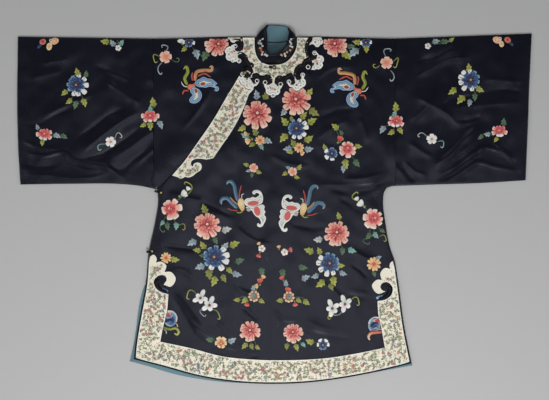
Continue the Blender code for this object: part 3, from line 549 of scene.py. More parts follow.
def stretched_noise(tree, vector, scale, detail):
    """A noise that is finer along some axes than along others."""
    place = put(tree, "ShaderNodeMapping", {"Vector": vector, "Scale": scale}).outputs[0]
    return put(tree, "ShaderNodeTexNoise", {"Vector": place, "Scale": 1.0, "Detail": detail}).outputs[0]


def placed_group(tree, group, inputs):
    return put(tree, "ShaderNodeGroup", inputs, node_tree=group).outputs


def on_object(tree):
    return put(tree, "ShaderNodeTexCoord").outputs["Object"]


def new_tree(name, kind, inputs, outputs):
    """A node tree whose sockets are given as name: (type, default), and the sockets of its two ends."""
    tree = bpy.data.node_groups.new(name, kind)
    for way, sockets in (("INPUT", inputs), ("OUTPUT", outputs)):
        for socket, (what, *default) in sockets.items():
            made = tree.interface.new_socket(socket, in_out=way, socket_type=f"NodeSocket{what}")
            for value in default:
                made.default_value = value
    return tree, tree.nodes.new("NodeGroupInput").outputs, tree.nodes.new("NodeGroupOutput").inputs


@cache
def weave_group():
    """Warp and weft of a woven cloth: a height and a fleck, both 0 to 1."""
    group, given, result = new_tree(
        "Weave", "ShaderNodeTree",
        {"Vector": ("Vector",), "Pitch": ("Float", 0.0006), "Weft": ("Float", 0.5)},
        {"Height": ("Float",), "Fleck": ("Float",)})
    scale = maths(group, "DIVIDE", WAVES_A_PITCH, given["Pitch"])
    warp, weft = (
        put(group, "ShaderNodeTexWave", {
            "Vector": given["Vector"], "Scale": scale, "Distortion": 0.6, "Detail": 1.0,
            "Detail Scale": 0.4}, bands_direction=direction).outputs["Fac"]
        for direction in ("X", "Y"))
    weft = maths(group, "MULTIPLY", weft, given["Weft"])
    group.links.new(maths(group, "MULTIPLY", maths(group, "ADD", warp, weft), 0.66), result["Height"])
    group.links.new(stretched_noise(group, given["Vector"], (260.0, 1500.0, 260.0), 2.0), result["Fleck"])
    return group


@cache
def tone_group():
    """Slow and quick variation of a dyed cloth, each 0 to 1."""
    group, given, result = new_tree(
        "Cloth tone", "ShaderNodeTree", {"Vector": ("Vector",), "Size": ("Float", 0.12)},
        {"Slow": ("Float",), "Quick": ("Float",)})
    scale = maths(group, "DIVIDE", 1.0, given["Size"])
    for socket, factor, detail in (("Slow", 1.0, 3.0), ("Quick", 9.0, 4.0)):
        fine = put(group, "ShaderNodeTexNoise", {
            "Vector": given["Vector"], "Scale": maths(group, "MULTIPLY", scale, factor),
            "Detail": detail, "Roughness": 0.55}).outputs[0]
        group.links.new(spread(group, fine, -0.7, 1.7), result[socket])
    return group


@cache
def thread_group():
    """Rows of laid silk stitches along a piece's own map: a height, and a painted shade between the rows
    mixed with a random tone, both 0 to 1.
    """
    group, given, result = new_tree(
        "Stitches", "ShaderNodeTree", {"Vector": ("Vector",), "Pitch": ("Float", 0.7)},
        {"Height": ("Float",), "Painted groove shade and tone": ("Float",)})
    rows = put(group, "ShaderNodeTexWave", {
        "Vector": given["Vector"], "Scale": maths(group, "DIVIDE", WAVES_A_PITCH, given["Pitch"]),
        "Distortion": 0.8, "Detail": 1.0, "Detail Scale": 1.2}).outputs["Fac"]
    lay = stretched_noise(group, given["Vector"], (2.4, 0.35, 1.0), 3.0)
    # Painted shade: this is darker where the rows' height is low, between the stitch rows, plus a random tone
    # from the lay noise.
    shade = maths(group, "ADD", maths(group, "MULTIPLY", rows, 0.35), spread(group, lay, -0.1, 0.75))
    group.links.new(rows, result["Height"])
    group.links.new(shade, result["Painted groove shade and tone"])
    return group


LOOKS = {}


def new_look(name, fixed=()):
    """The tree of a new material. Its fixed values are set on the shader's own sockets."""
    look = LOOKS[name] = bpy.data.materials.new(name)
    look.use_nodes = True
    for key, value in dict(fixed).items():
        look.node_tree.nodes["Principled BSDF"].inputs[key].default_value = value
    return look.node_tree


def rgba(value, factor=1.0):
    return (*(min(1.0, channel * factor) for channel in value), 1.0)


def finish(tree, dyed, roughness, height=None, strength=0.6, depth=0.0002):
    """Wires colour, roughness and bump to a material's shader."""
    shader = tree.nodes["Principled BSDF"]
    tree.links.new(dyed, shader.inputs["Base Color"])
    tree.links.new(roughness, shader.inputs["Roughness"])
    if height is not None:
        bump = put(tree, "ShaderNodeBump", {"Height": height, "Strength": strength, "Distance": depth})
        tree.links.new(bump.outputs[0], shader.inputs["Normal"])


def cloth_look(name, base, pale, dark, pitch, weft, rough, relief, fixed):
    """A woven silk: its dye, weave and sheen."""
    tree = new_look(name, fixed)
    place = on_object(tree)
    tone = placed_group(tree, tone_group(), {"Vector": place})
    weave = placed_group(tree, weave_group(), {"Vector": place, "Pitch": pitch, "Weft": weft})
    shade = blend(tree, tone["Slow"], rgba(base, dark), rgba(base, pale))
    shade = blend(tree, maths(tree, "MULTIPLY", tone["Quick"], 0.35), shade, rgba(base, 0.5 * (pale + 1.0)))
    shade = blend(tree, maths(tree, "MULTIPLY", weave["Fleck"], 0.30), shade, rgba(base, pale * 1.15))
    mixed = maths(tree, "ADD", maths(tree, "MULTIPLY", tone["Slow"], 0.6),
                  maths(tree, "MULTIPLY", tone["Quick"], 0.4))
    height = maths(tree, "ADD", weave["Height"], maths(tree, "MULTIPLY", tone["Quick"], 2.0))
    finish(tree, shade, spread(tree, mixed, *rough), height, 0.5, relief)


def make_looks():
    colours = bpy.context.scene.jacket_colours
    satin, cream, teal, braid, gilt, floor = (
        tuple(getattr(colours, key)) for key in ("satin", "cream", "teal", "braid", "gilt", "floor"))
    cloth_look("Black satin", satin, 1.35, 0.80, 0.00042, 0.35, (0.25, 0.35), 0.00006, {
        "Sheen Weight": 0.02, "Sheen Roughness": 0.35, "Sheen Tint": (0.55, 0.60, 1.0, 1.0),
        "Specular IOR Level": 0.29, "Specular Tint": (0.80, 0.84, 1.0, 1.0)})
    for name, base, pale, dark, pitch, weft, rough, sheen in (
        ("Cream silk", cream, 1.07, 0.90, 0.00060, 0.8, (0.48, 0.62), 0.12),
        ("Teal silk", teal, 1.28, 0.82, 0.00070, 0.9, (0.46, 0.60), 0.15),
        ("White silk", WHITE_SILK, 1.04, 0.92, 0.00060, 0.5, (0.42, 0.56), 0.15),
    ):
        cloth_look(name, base, pale, dark, pitch, weft, rough, 0.00010, {
            "Sheen Weight": sheen, "Sheen Roughness": 0.4})

    tree = new_look("Black braid", {"Specular IOR Level": 0.16})
    twist = put(tree, "ShaderNodeTexWave", {
        "Vector": on_object(tree), "Scale": 300.0, "Distortion": 1.5, "Detail": 1.0},
        bands_direction="DIAGONAL").outputs["Fac"]
    # Painted shade and highlight: the braid's colour is darker in the twist's grooves and lighter on its
    # ridges, following the bump.
    finish(tree, blend(tree, twist, rgba(braid, 0.5), rgba(braid, 1.1)),
           spread(tree, twist, 0.5, 0.68), twist)

    tree = new_look("Silk embroidery", {"Sheen Weight": 0.10, "Sheen Roughness": 0.35})
    tint = put(tree, "ShaderNodeAttribute", attribute_name="tint").outputs["Color"]
    lines = put(tree, "ShaderNodeUVMap", uv_map="stitch").outputs[0]
    stitches = placed_group(tree, thread_group(), {"Vector": lines, "Pitch": 0.75})
    # A darker copy of the thread colour, which the stitches' painted groove shade mixes in between the stitch
    # rows.
    deep = blend(tree, 1.0, tint, (0.66, 0.62, 0.64, 1.0), "MULTIPLY")
    finish(tree, blend(tree, stitches["Painted groove shade and tone"], deep, tint), spread(tree, stitches["Painted groove shade and tone"], 0.38, 0.56),
           stitches["Height"])

    tree = new_look("Gilt", {"Metallic": 1.0})
    tone = placed_group(tree, tone_group(), {"Vector": on_object(tree), "Size": 0.02})
    finish(tree, blend(tree, tone["Quick"], rgba(gilt, 0.42), rgba(gilt, 1.12)),
           spread(tree, tone["Slow"], 0.24, 0.46), tone["Quick"], 0.25)

    tree = new_look("Plain paper floor", {"Specular IOR Level": 0.2})
    grain = put(tree, "ShaderNodeTexNoise", {
        "Vector": on_object(tree), "Scale": 60.0, "Detail": 5.0}).outputs[0]
    finish(tree, blend(tree, grain, rgba(floor, 0.985), rgba(floor, 1.015)), spread(tree, grain, 0.85, 0.95))


# ---------------------------------------------------------------- stage

class JACKET_OT_stage(bpy.types.Operator):
    """Makes the camera, the lights and the plain surface that the jacket lies on"""
    bl_idname = "jacket.stage"
    bl_label = "Camera, lights and floor"

    def execute(self, context):
        scene, stage = context.scene, context.scene.jacket_stage
        link = scene.collection.objects.link
        data = bpy.data.cameras.new("camera")
        data.lens, data.sensor_width, data.clip_end = FOCAL_LENGTH, SENSOR_WIDTH, 50.0
        camera = bpy.data.objects.new("camera", data)
        camera.location = (*VIEW_CENTRE, VIEW_WIDTH * FOCAL_LENGTH / SENSOR_WIDTH + 0.004)
        link(camera)
        scene.camera = camera

        for name, place, width, power in (
            ("light_over", (0.04, -0.43, 3.3), 0.9, stage.over_light),
            ("light_foot", (0.1, -1.7, 1.9), 1.1, stage.foot_light),
            ("light_head", (-0.5, 2.6, 2.4), 1.4, stage.head_light),
            ("light_left", (-2.7, -0.2, 1.9), 1.2, stage.side_light),
            ("light_right", (2.7, -0.2, 1.9), 1.2, 0.82 * stage.side_light),
        ):
            lamp = bpy.data.lights.new(name, "AREA")
            lamp.shape, lamp.size, lamp.energy = "SQUARE", width, power
            item = bpy.data.objects.new(name, lamp)
            item.location = place
            item.rotation_euler = (-Vector(place)).to_track_quat("-Z", "Y").to_euler()
            link(item)
        scene.world = bpy.data.worlds.new("soft room")
        scene.world.use_nodes = True
        room = scene.world.node_tree.nodes["Background"].inputs
        room["Color"].default_value = (0.93, 0.96, 1.0, 1.0)
        room["Strength"].default_value = stage.room_light
        scene.view_settings.view_transform = "Standard"

        data = bpy.data.meshes.new("floor")
        corners = ((-1, -1), (1, -1), (1, 1), (-1, 1))
        data.from_pydata([(FLOOR_HALF * x, FLOOR_HALF * y, FLOOR_Z) for x, y in corners], [], [(0, 1, 2, 3)])
        data.materials.append(LOOKS["Plain paper floor"])
        floor = bpy.data.objects.new("floor", data)
        link(floor)
        return {"FINISHED"}


# ---------------------------------------------------------------- cloth

# Slow waves over the cloth: their lengths, and their heights as shares of the crease depth.
FRONT_WAVES = ((0.150, 0.085, 0.046), (0.26, 0.18, 0.10))
SLEEVE_WAVES = ((0.140, 0.080, 0.044), (0.26, 0.20, 0.12))
# How far from an edge creases and folds have their full height, and the sleeves' share of folds.
CREASE_FADE, FRONT_FOLD_FADE, SLEEVE_FOLD_FADE, SLEEVE_FOLDS = 0.03, 0.022, 0.020, 1.3
# Where the fronts are folded over the shoulders, end below the sleeves and are sewn down the sides.
SHOULDER_FOLD_Y, UNDERARM_Y = 0.455, 0.046
SIDE_SEAM_X, SIDE_SEAM_MIDDLE, SIDE_SEAM_HALF = 0.29, -0.08, 0.126
# How far the fronts stay above the lining, the height that their sewn edges come down to, and the
# least height of a sleeve's upper side.
LINING_ROOM, SEWN_HEIGHT, SLEEVE_LEAST = 0.0012, 0.0025, 0.0036
# How far a turned edge's roll reaches in, and its depth at a sleeve's seam and at a cuff.
ROLL_WIDTH, CUFF_ROLL_WIDTH, SEAM_DROP, CUFF_DROP = 0.0034, 0.003, 0.0004, 0.0005
# The gap between a sleeve and the front beside it.
SLEEVE_GAP = 0.0003

# What the steps have built: each piece's points and triangles, and the rings of its edges in plan.
BUILT = {}
RINGS = {}


def keep_built(node, points, triangles):
    BUILT[node] = (points, triangles)
    surface_with.cache_clear()


def inner_lines(ring, *distances):
    """Chains that run inside a ring at these distances from it."""
    chains = []
    for distance in distances:
        moved = offset(ring, distance, closed=True)
        clear = (Near(dense(ring)).away(moved) > 0.9 * distance) & inside(moved, [ring])
        chains += runs(moved, clear)
    return chains


def ripples(places, seed, lengths, heights):
    """Slow waves over the cloth."""
    random = np.random.default_rng(seed)
    rise = np.zeros(len(places))
    for length, height in zip(lengths, heights):
        for _ in range(5):
            turn, phase = random.uniform(0, math.pi), random.uniform(0, 2 * math.pi)
            bend = random.uniform(-0.9, 0.9)
            along = places[:, 0] * math.cos(turn) + places[:, 1] * math.sin(turn)
            aside = places[:, 1] * math.cos(turn) - places[:, 0] * math.sin(turn)
            rise += height * np.sin(
                2 * math.pi * along / length + phase + bend * np.sin(2 * math.pi * aside / (2.6 * length)))
    return rise


# Folds of each piece: the line of a crest or a hollow in millimetres, its half width and its height.
FOLDS = {
    "sleeve_right": (
        (((-665, 229), (-621, 252), (-580, 271), (-529, 294), (-478, 314)), 12, 2.0),
        (((-550, 134), (-501, 171), (-455, 208), (-409, 238), (-368, 259)), 14, 3.0),
        (((-469, 347), (-423, 310), (-368, 275)), 12, 2.6),
        (((-460, 121), (-400, 157), (-354, 192), (-303, 220), (-257, 261)), 14, 2.8),
        (((-702, 144), (-640, 134), (-580, 142), (-557, 124), (-515, 113), (-465, 104), (-437, 86),
          (-407, 61)), 6, 3.0),
        (((-702, 79), (-621, 79), (-552, 71), (-483, 79), (-437, 96)), 6, 2.0),
        (((-328, 56), (-322, 74), (-292, 95), (-257, 134)), 6, 2.6),
        (((-649, 384), (-608, 397), (-566, 402)), 10, 1.6),
        (((-409, 91), (-363, 130), (-317, 167), (-275, 201)), 10, 2.2),
        (((-578, 132), (-561, 114), (-520, 96), (-474, 90)), 5, 1.8),
        (((-358, 358), (-317, 321), (-298, 303)), 12, 1.8),
        (((-702, 178), (-640, 155), (-566, 157)), 8, 1.6),
        (((-691, 344), (-640, 358), (-580, 372)), 14, 1.6),
        (((-702, 220), (-654, 223), (-608, 247), (-538, 280)), 8, -1.5),
        (((-552, 176), (-501, 213), (-460, 245), (-400, 270)), 10, -2.6),
        (((-538, 127), (-483, 137), (-428, 170), (-368, 215)), 9, -3.0),
        (((-465, 117), (-425, 95), (-391, 121), (-345, 155)), 7, -2.2),
        (((-501, 386), (-446, 363), (-386, 340)), 14, -2.0),
        (((-345, 91), (-308, 128), (-262, 178), (-215, 238)), 10, -2.0),
        (((-700, 111), (-640, 104), (-589, 114)), 7, -1.6),
    ),
    "sleeve_left": (
        (((384, 347), (426, 372), (467, 397), (523, 404), (546, 388)), 11, 2.8),
        (((375, 305), (426, 280), (481, 247), (509, 223), (564, 238)), 8, 1.9),
        (((375, 227), (417, 264), (440, 287)), 8, 1.8),
        (((440, 102), (472, 128), (509, 164), (546, 201), (569, 222)), 10, 3.0),
        (((440, 70), (490, 94), (546, 132), (573, 156), (620, 148), (666, 116)), 7, 2.4),
        (((477, 61), (527, 94), (564, 115), (610, 104), (675, 90), (691, 81)), 7, 2.2),
        (((359, 119), (389, 91), (424, 79)), 6, 1.8),
        (((486, 266), (550, 274), (620, 280), (693, 280)), 14, 2.2),
        (((251, 201), (287, 174), (315, 128), (343, 96), (375, 65)), 8, 2.6),
        (((597, 178), (638, 145), (668, 111)), 9, 2.0),
        (((269, 358), (306, 321), (324, 289)), 12, 1.6),
        (((573, 344), (620, 344), (693, 337)), 12, 1.6),
        (((370, 174), (407, 146), (440, 128)), 8, 1.8),
        (((350, 116), (370, 81), (391, 61)), 6, -2.6),
        (((440, 57), (495, 86), (550, 127), (583, 139)), 6, -2.4),
        (((504, 238), (532, 233), (573, 247)), 6, -1.8),
        (((550, 298), (620, 317), (693, 312)), 12, -2.2),
        (((389, 393), (449, 409), (504, 437)), 12, -2.2),
        (((463, 264), (486, 288), (550, 298)), 9, -2.0),
        (((569, 174), (537, 146), (486, 109), (449, 86)), 7, -2.0),
    ),
    "main_front": (
        (((181, 70), (251, 73), (315, 88)), 8, 1.5),
        (((191, 48), (251, 51), (324, 65)), 7, -2.2),
        (((112, 174), (158, 211), (214, 238)), 16, 1.5),
        (((232, 247), (251, 201), (260, 164)), 12, 1.8),
        (((-17, 141), (34, 114), (103, 104)), 14, 1.8),
        (((117, 238), (167, 257), (232, 266)), 12, -1.8),
        (((112, 344), (158, 377), (232, 381)), 12, 1.8),
        (((176, 18), (203, 7), (237, -21)), 7, -2.0),
        (((143, 45), (220, 34), (298, 51)), 8, -2.4),
        (((115, 56), (209, 54), (292, 65)), 9, 1.0),
        (((-300, -242), (-262, -287), (-242, -331), (-212, -370), (-173, -397)), 9, -2.6),
        (((-278, -234), (-239, -276), (-212, -314), (-184, -353)), 9, 1.5),
        (((60, -328), (104, -353), (159, -365), (231, -371)), 8, -1.1),
        (((71, -314), (126, -339), (215, -354)), 8, 0.6),
        (((192, -249), (231, -256), (270, -260)), 7, -1.5),
        (((187, -236), (231, -242), (270, -246)), 7, 0.8),
        (((209, -162), (237, -182), (259, -204)), 7, -1.8),
        (((-292, -176), (-251, -184), (-217, -212)), 7, 1.5),
        (((-90, -280), (-68, -301), (-43, -323)), 6, -1.8),
        (((-120, -51), (-73, -90), (-1, -115)), 8, 1.5),
        (((-212, 12), (-151, -16), (-112, -35)), 9, -2.2),
        (((-300, 34), (-245, 18), (-190, 7)), 10, 1.8),
        (((43, -54), (115, -64), (148, -60)), 8, -1.8),
        (((-184, -367), (-151, -400), (-95, -415), (-18, -424)), 7, -2.2),
        (((104, -204), (159, -234), (203, -287)), 10, 1.8),
        (((-317, -110), (-267, -118), (-206, -126)), 9, -1.8),
        (((-245, -314), (-195, -353), (-167, -375)), 7, 1.8),
        (((-118, -220), (-84, -242), (-29, -259)), 9, 1.5),
        (((209, -121), (253, -148), (292, -154)), 9, 1.8),
        (((-162, -320), (-129, -353), (-101, -375)), 8, 1.6),
        (((-7, -287), (32, -320), (71, -314)), 9, 1.6),
    ),
    "right_front": (
        (((-257, 354), (-206, 363), (-146, 386)), 12, 1.8),
        (((-262, 201), (-229, 238), (-192, 289), (-165, 340)), 10, 2.0),
    ),
}


def fold_rise(places, node):
    """How far the folds of a piece raise or lower these places."""
    rise = np.zeros(len(places))
    for line, width, height in FOLDS[node]:
        path = spline(np.array(line) * MM, 0.003)
        near = Near(path)
        away = near.away(places) / (width * MM)
        share = near.row(places) / (len(path) - 1.0)
        fade = smoothstep(np.minimum(share, 1.0 - share) / 0.28 + 0.04)
        rise += height * MM * fade * np.exp(-2.0 * (np.sqrt(away**2 + 0.05) - 0.2236))
    return rise


def edge_drop(away, radius, depth):
    """How far a turned edge has rolled down at this distance from it."""
    share = np.clip(1.0 - away / radius, 0.0, 1.0)
    return depth * (1.0 - np.sqrt(1.0 - share**2))


def solid_heights(node, plan, away, least):
    """Heights of a node's upper side at the plan's points, taken clear of its edge."""
    clear = away >= least
    heights = np.empty(len(plan))
    heights[clear] = Surface([welded(node)]).height(plan[clear])
    heights[~clear] = heights[clear][Near(plan[clear]).row(plan[~clear])]
    return heights


def lay_cloth(node, plan, triangles, heights, look, wall, rests_on=(), kind="cloth"):
    """Makes a panel that replaces its node. Where it rests on something, its plan area and cut size are
    worked out.
    """
    points = np.column_stack([plan, heights])
    keep_built(node, points, triangles)
    item = add_piece(f"{node}_{kind}", points, triangles, look, wall=wall, node=node)
    if rests_on:
        sheet_of(points, triangles)


class JACKET_OT_fronts(bpy.types.Operator):
    """Makes the overlapping main front and the right front with its hidden flap"""
    bl_idname = "jacket.fronts"
    bl_label = "Two fronts"

    def execute(self, context):
        sizes = context.scene.jacket_cloth
        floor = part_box("back_lining")[1].z + 2 * sizes.wall + LINING_ROOM
        for node, seed in (("main_front", 3), ("right_front", 4)):
            ring = top_rings(node)[0]
            RINGS[node] = [ring]
            plan, triangles = fill([ring], sizes.step, inner_lines(ring, 0.0011, 0.0028))
            rim = dense(ring)
            near = Near(rim)
            away = near.away(plan)
            heights = relax(solid_heights(node, plan, away, 0.0052), triangles, 55)
            heights += smoothstep(away / CREASE_FADE) * sizes.crease * ripples(plan, seed, *FRONT_WAVES)
            heights += smoothstep(away / FRONT_FOLD_FADE) * sizes.folds * fold_rise(plan, node)
            heights = np.maximum(heights, floor)
            x, y = rim[near.row(plan)].T
            top = y > SHOULDER_FOLD_Y
            sewn = top | ((np.abs(x) > SIDE_SEAM_X) & (np.abs(y - SIDE_SEAM_MIDDLE) < SIDE_SEAM_HALF))
            joined = (np.abs(x) > SEAM_X - 0.0012) & (y > UNDERARM_Y) & ~top
            depth = np.where(sewn, np.maximum(heights - SEWN_HEIGHT, 0.0), sizes.roll)
            heights -= edge_drop(away, ROLL_WIDTH, np.where(joined, SEAM_DROP, depth))
            if node == "right_front":
                under = inside(plan, RINGS["main_front"])
                room = Surface([BUILT["main_front"]]).height(plan[under]) - sizes.wall - 0.0002
                heights[under] = np.minimum(heights[under], room)
            lay_cloth(node, plan, triangles, heights, "Black satin", sizes.wall,
                      ["back_lining", "back_panel"])
        return {"FINISHED"}


class JACKET_OT_sleeves(bpy.types.Operator):
    """Makes the two sleeves, each a flattened tube folded along its top and sewn below"""
    bl_idname = "jacket.sleeves"
    bl_label = "Sleeves"

    def execute(self, context):
        sizes = context.scene.jacket_cloth
        for node, side, under, cuff, seed in (
            ("sleeve_right", -1.0, RIGHT_UNDER, RIGHT_CUFF, 5),
            ("sleeve_left", 1.0, LEFT_UNDER, LEFT_CUFF, 6),
        ):
            start = side * SLEEVE_GAP
            lower = spline(under) + np.array([start, 0.0])
            end = spline(cuff)
            upper = spline((cuff[-1], (side * SEAM_X + start, SHOULDER_Y)), 0.006)
            seam = spline((upper[-1], lower[0]), 0.006)
            ring = np.vstack([lower[:-1], end[:-1], upper[:-1], seam[:-1]])[::int(side)]
            plan, triangles = fill([ring], sizes.step, inner_lines(ring, 0.0008, 0.0022, 0.0040))
            away = Near(np.vstack([dense(lower, closed=False), dense(upper, closed=False)])).away(plan)
            heights = solid_heights(node, plan, Near(dense(ring)).away(plan), 0.0075)
            heights = relax(heights, triangles, 28)
            heights += smoothstep(away / CREASE_FADE) * sizes.crease * ripples(plan, seed, *SLEEVE_WAVES)
            heights += (smoothstep(away / SLEEVE_FOLD_FADE) * SLEEVE_FOLDS * sizes.folds
                        * fold_rise(plan, node))
            heights = np.maximum(heights, SLEEVE_LEAST)
            share = np.sqrt(1.0 - np.clip(1.0 - away / TUBE_EDGE, 0.0, 1.0) ** 2)
            top = TUBE_MIDDLE + (heights - TUBE_MIDDLE) * share
            top -= edge_drop(Near(dense(end, closed=False)).away(plan), CUFF_ROLL_WIDTH, CUFF_DROP)
            bottom = TUBE_MIDDLE * (1.0 - share)
            shared = away < 1e-5
            below = np.where(shared, np.arange(len(plan)), 0)
            below[~shared] = len(plan) + np.arange((~shared).sum())
            points = np.vstack([
                np.column_stack([plan, np.where(shared, TUBE_MIDDLE, top)]),
                np.column_stack([plan[~shared], bottom[~shared]])])
            double = triangles[~np.all(shared[triangles], axis=1)]
            faces = np.vstack([double, below[double][:, ::-1]])
            keep_built(node, np.column_stack([plan, top]), triangles)
            item = add_piece(f"{node}_cloth", points, faces, "Black satin", wall=sizes.wall, node=node)
        return {"FINISHED"}


# The lining's corner at the left vent: two points on its edge and where the corner is, in metres.
LINING_CORNER = (((0.350, -0.4512), (0.3725, -0.405)), ((0.3812, -0.4461), (0.3809, -0.4438)))


class JACKET_OT_back(bpy.types.Operator):
    """Makes the back, the cream border let into it and the teal lining"""
    bl_idname = "jacket.back"
    bl_label = "Back and lining"

    def execute(self, context):
        cover = extended(top_rings("back_lining")[0], *LINING_CORNER)
        rim = dense(cover, 0.0004)
        for node, look, step in (
            ("back_panel", "Black satin", 0.016), ("back_border", "Cream silk", 0.012),
            ("back_lining", "Teal silk", 0.016),
        ):
            lining = node == "back_lining"
            ring = cover if lining else top_rings(node)[0]
            if node == "back_border":
                beyond = ~inside(ring, [cover])
                ring[beyond] = rim[[np.linalg.norm(rim - point, axis=1).argmin() for point in ring[beyond]]]
                ring = drop_close(ring, 0.0008)
            plan, triangles = fill([ring], step, inner_lines(ring, 0.0012))
            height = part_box(node)[1].z
            heights = height - edge_drop(Near(dense(ring)).away(plan), 0.0012, 0.00035)
            if lining:
                heights += 0.00010 * np.sin(plan[:, 1] * 190.0 + 2.0 * np.sin(plan[:, 0] * 40.0)) - 0.0001
            lay_cloth(node, plan, triangles, heights, look, LINING_WALL if lining else height - 0.00005,
                      ["back_panel" if lining else "floor"])
        return {"FINISHED"}


# ---------------------------------------------------------------- cords and stitches

def finish_tree(tree, grown, given, result, smooth=True):
    """Makes what a tree grows real and gives it its material."""
    grown = put(tree, "GeometryNodeRealizeInstances", {"Geometry": grown}).outputs[0]
    if smooth:
        grown = put(tree, "GeometryNodeSetShadeSmooth", {"Geometry": grown}).outputs[0]
    grown = put(tree, "GeometryNodeSetMaterial", {
        "Geometry": grown, "Material": given["Material"]}).outputs[0]
    tree.links.new(grown, result[0])
    return tree


def path_tree(name, inputs):
    """A tree that grows something along the edges of a mesh: the tree, its path and its two ends."""
    tree, given, result = new_tree(name, "GeometryNodeTree", {
        "Geometry": ("Geometry",), **inputs, "Material": ("Material",)}, {"Geometry": ("Geometry",)})
    path = put(tree, "GeometryNodeMeshToCurve", {"Mesh": given["Geometry"]}).outputs[0]
    return tree, path, given, result


@cache
def cord_tree():
    """A round cord along the edges of a mesh."""
    tree, path, given, result = path_tree(
        "Cord along a path", {"Radius": ("Float", 0.0008), "Sides": ("Int", 6)})
    circle = put(tree, "GeometryNodeCurvePrimitiveCircle", {
        "Resolution": given["Sides"], "Radius": 1.0}).outputs[0]
    tube = put(tree, "GeometryNodeCurveToMesh", {
        "Curve": path, "Profile Curve": circle, "Scale": given["Radius"], "Fill Caps": True}).outputs[0]
    return finish_tree(tree, tube, given, result)


@cache
def stitch_tree():
    """A short stitch at every pitch along the edges of a mesh."""
    tree, path, given, result = path_tree("Stitches along a path", {
        "Pitch": ("Float", 0.006), "Length": ("Float", 0.002), "Thickness": ("Float", 0.0005)})
    spots = put(tree, "GeometryNodeCurveToPoints", {
        "Curve": path, "Length": given["Pitch"]}, mode="LENGTH").outputs
    size = put(tree, "ShaderNodeCombineXYZ", {
        "X": given["Thickness"], "Y": given["Thickness"], "Z": given["Length"]}).outputs[0]
    bead = put(tree, "GeometryNodeMeshIcoSphere", {"Radius": 0.5, "Subdivisions": 1}).outputs[0]
    bead = put(tree, "GeometryNodeTransform", {"Geometry": bead, "Scale": size}).outputs[0]
    rows = put(tree, "GeometryNodeInstanceOnPoints", {
        "Points": spots["Points"], "Instance": bead, "Rotation": spots["Rotation"]}).outputs[0]
    return finish_tree(tree, rows, given, result, smooth=False)


def grow_on(data, name, tree, values):
    """A piece that a node tree grows on this mesh."""
    path = bpy.data.objects.new(f"{name}_path", data)
    bpy.context.scene.collection.objects.link(path)
    modifier = path.modifiers.new("grow", "NODES")
    modifier.node_group = tree
    for socket in tree.interface.items_tree:
        if socket.in_out == "INPUT" and socket.name in values:
            modifier[socket.identifier] = values[socket.name]
    graph = bpy.context.evaluated_depsgraph_get()
    data = bpy.data.meshes.new_from_object(path.evaluated_get(graph), depsgraph=graph)
    bpy.data.objects.remove(path, do_unlink=True)
    data.name = name
    if not data.materials:
        data.materials.append(values["Material"])
    return set_out(name, data)


def grown(name, chains, tree, values, look, slot_name=None, closed=False):
    """A piece that a node tree grows along the chains."""
    points, edges = [], []
    for chain in chains:
        first, count = len(points), len(chain)
        points += [tuple(point) for point in chain]
        edges += [(first + row, first + (row + 1) % count) for row in range(count - (not closed))]
    data = bpy.data.meshes.new(f"{name}_path")
    data.from_pydata(points, edges, [])
    return grow_on(data, name, tree, {**values, "Material": LOOKS[look]})


def cords(name, chains, radius, sides=6, look="Black braid", slot_name=None, closed=False):
    """Round cords along the chains, as one piece."""
    return grown(name, chains, cord_tree(), {"Radius": radius, "Sides": sides}, look, slot_name, closed)


def laid(chain, surface, lift):
    """A chain in plan laid on a surface."""
    return np.column_stack([chain, surface.height(chain) + lift])


# The closing band runs on under the cloud collar: its drawn corners and where they end, in metres.
CLOSING_CORNERS = (((-0.1135, 0.3265), (-0.0735, 0.3055)), ((-0.0975, 0.356), (-0.0570, 0.3190)))

# The seam down the middle of the main front, in metres.
CENTRE_SEAM = ((-0.0125, 0.2980), (-0.0130, 0.0), (-0.0110, -0.3960))


def extended(ring, corners, ends):
    """A ring whose edge between two corners moves out to two other points."""
    ring = np.asarray(ring)
    rows = [int(np.linalg.norm(ring - corner, axis=1).argmin()) for corner in corners]
    for (first, last), tips in ((rows, ends), (rows[::-1], ends[::-1])):
        ahead = (last - first) % len(ring)
        if ahead < len(ring) / 2:
            kept = np.roll(ring, -last, axis=0)[:len(ring) - ahead + 1]
            return np.vstack([kept, spline([kept[-1], *tips, kept[0]], 0.0025, corners=(1, 2))[1:-1]])
    return ring


@cache
def surface_with(*borders):
    """The finished satin and lining with these borders on them, as one surface."""
    return Surface([BUILT[node] for node in (*CLOTH_PIECES, *borders)])


def ground_of(node):
    """What a border lies on. The neck border also crosses the closing border."""
    return surface_with(*(["closing_border"] if node.startswith("neck") else []))


class JACKET_OT_borders(bpy.types.Operator):
    """Makes the cream borders: cloud collar, closing band, vent and hem borders"""
    bl_idname = "jacket.borders"
    bl_label = "Cream borders"

    def execute(self, context):
        trim = context.scene.jacket_trim
        for node in sorted(CREAM_PIECES, key=lambda name: name != "closing_border"):
            rings = top_rings(node, 0.0025)
            if node == "closing_border":
                rings = [extended(rings[0], *CLOSING_CORNERS)]
            RINGS[node] = rings
            plan, triangles = fill(rings, 0.0042, [
                chain for ring in rings for chain in inner_lines(ring, 0.0007, 0.0019)])
            away = Near(np.vstack([dense(ring) for ring in rings])).away(plan)
            rest = relax(ground_of(node).height(plan), triangles, 4)
            heights = rest + trim.border - edge_drop(away, 0.0018, 0.0005)
            lay_cloth(node, plan, triangles, heights, "Cream silk", BORDER_WALL,
                      ["right_front" if node == "neck_border_left" else "main_front"], "silk")
        return {"FINISHED"}


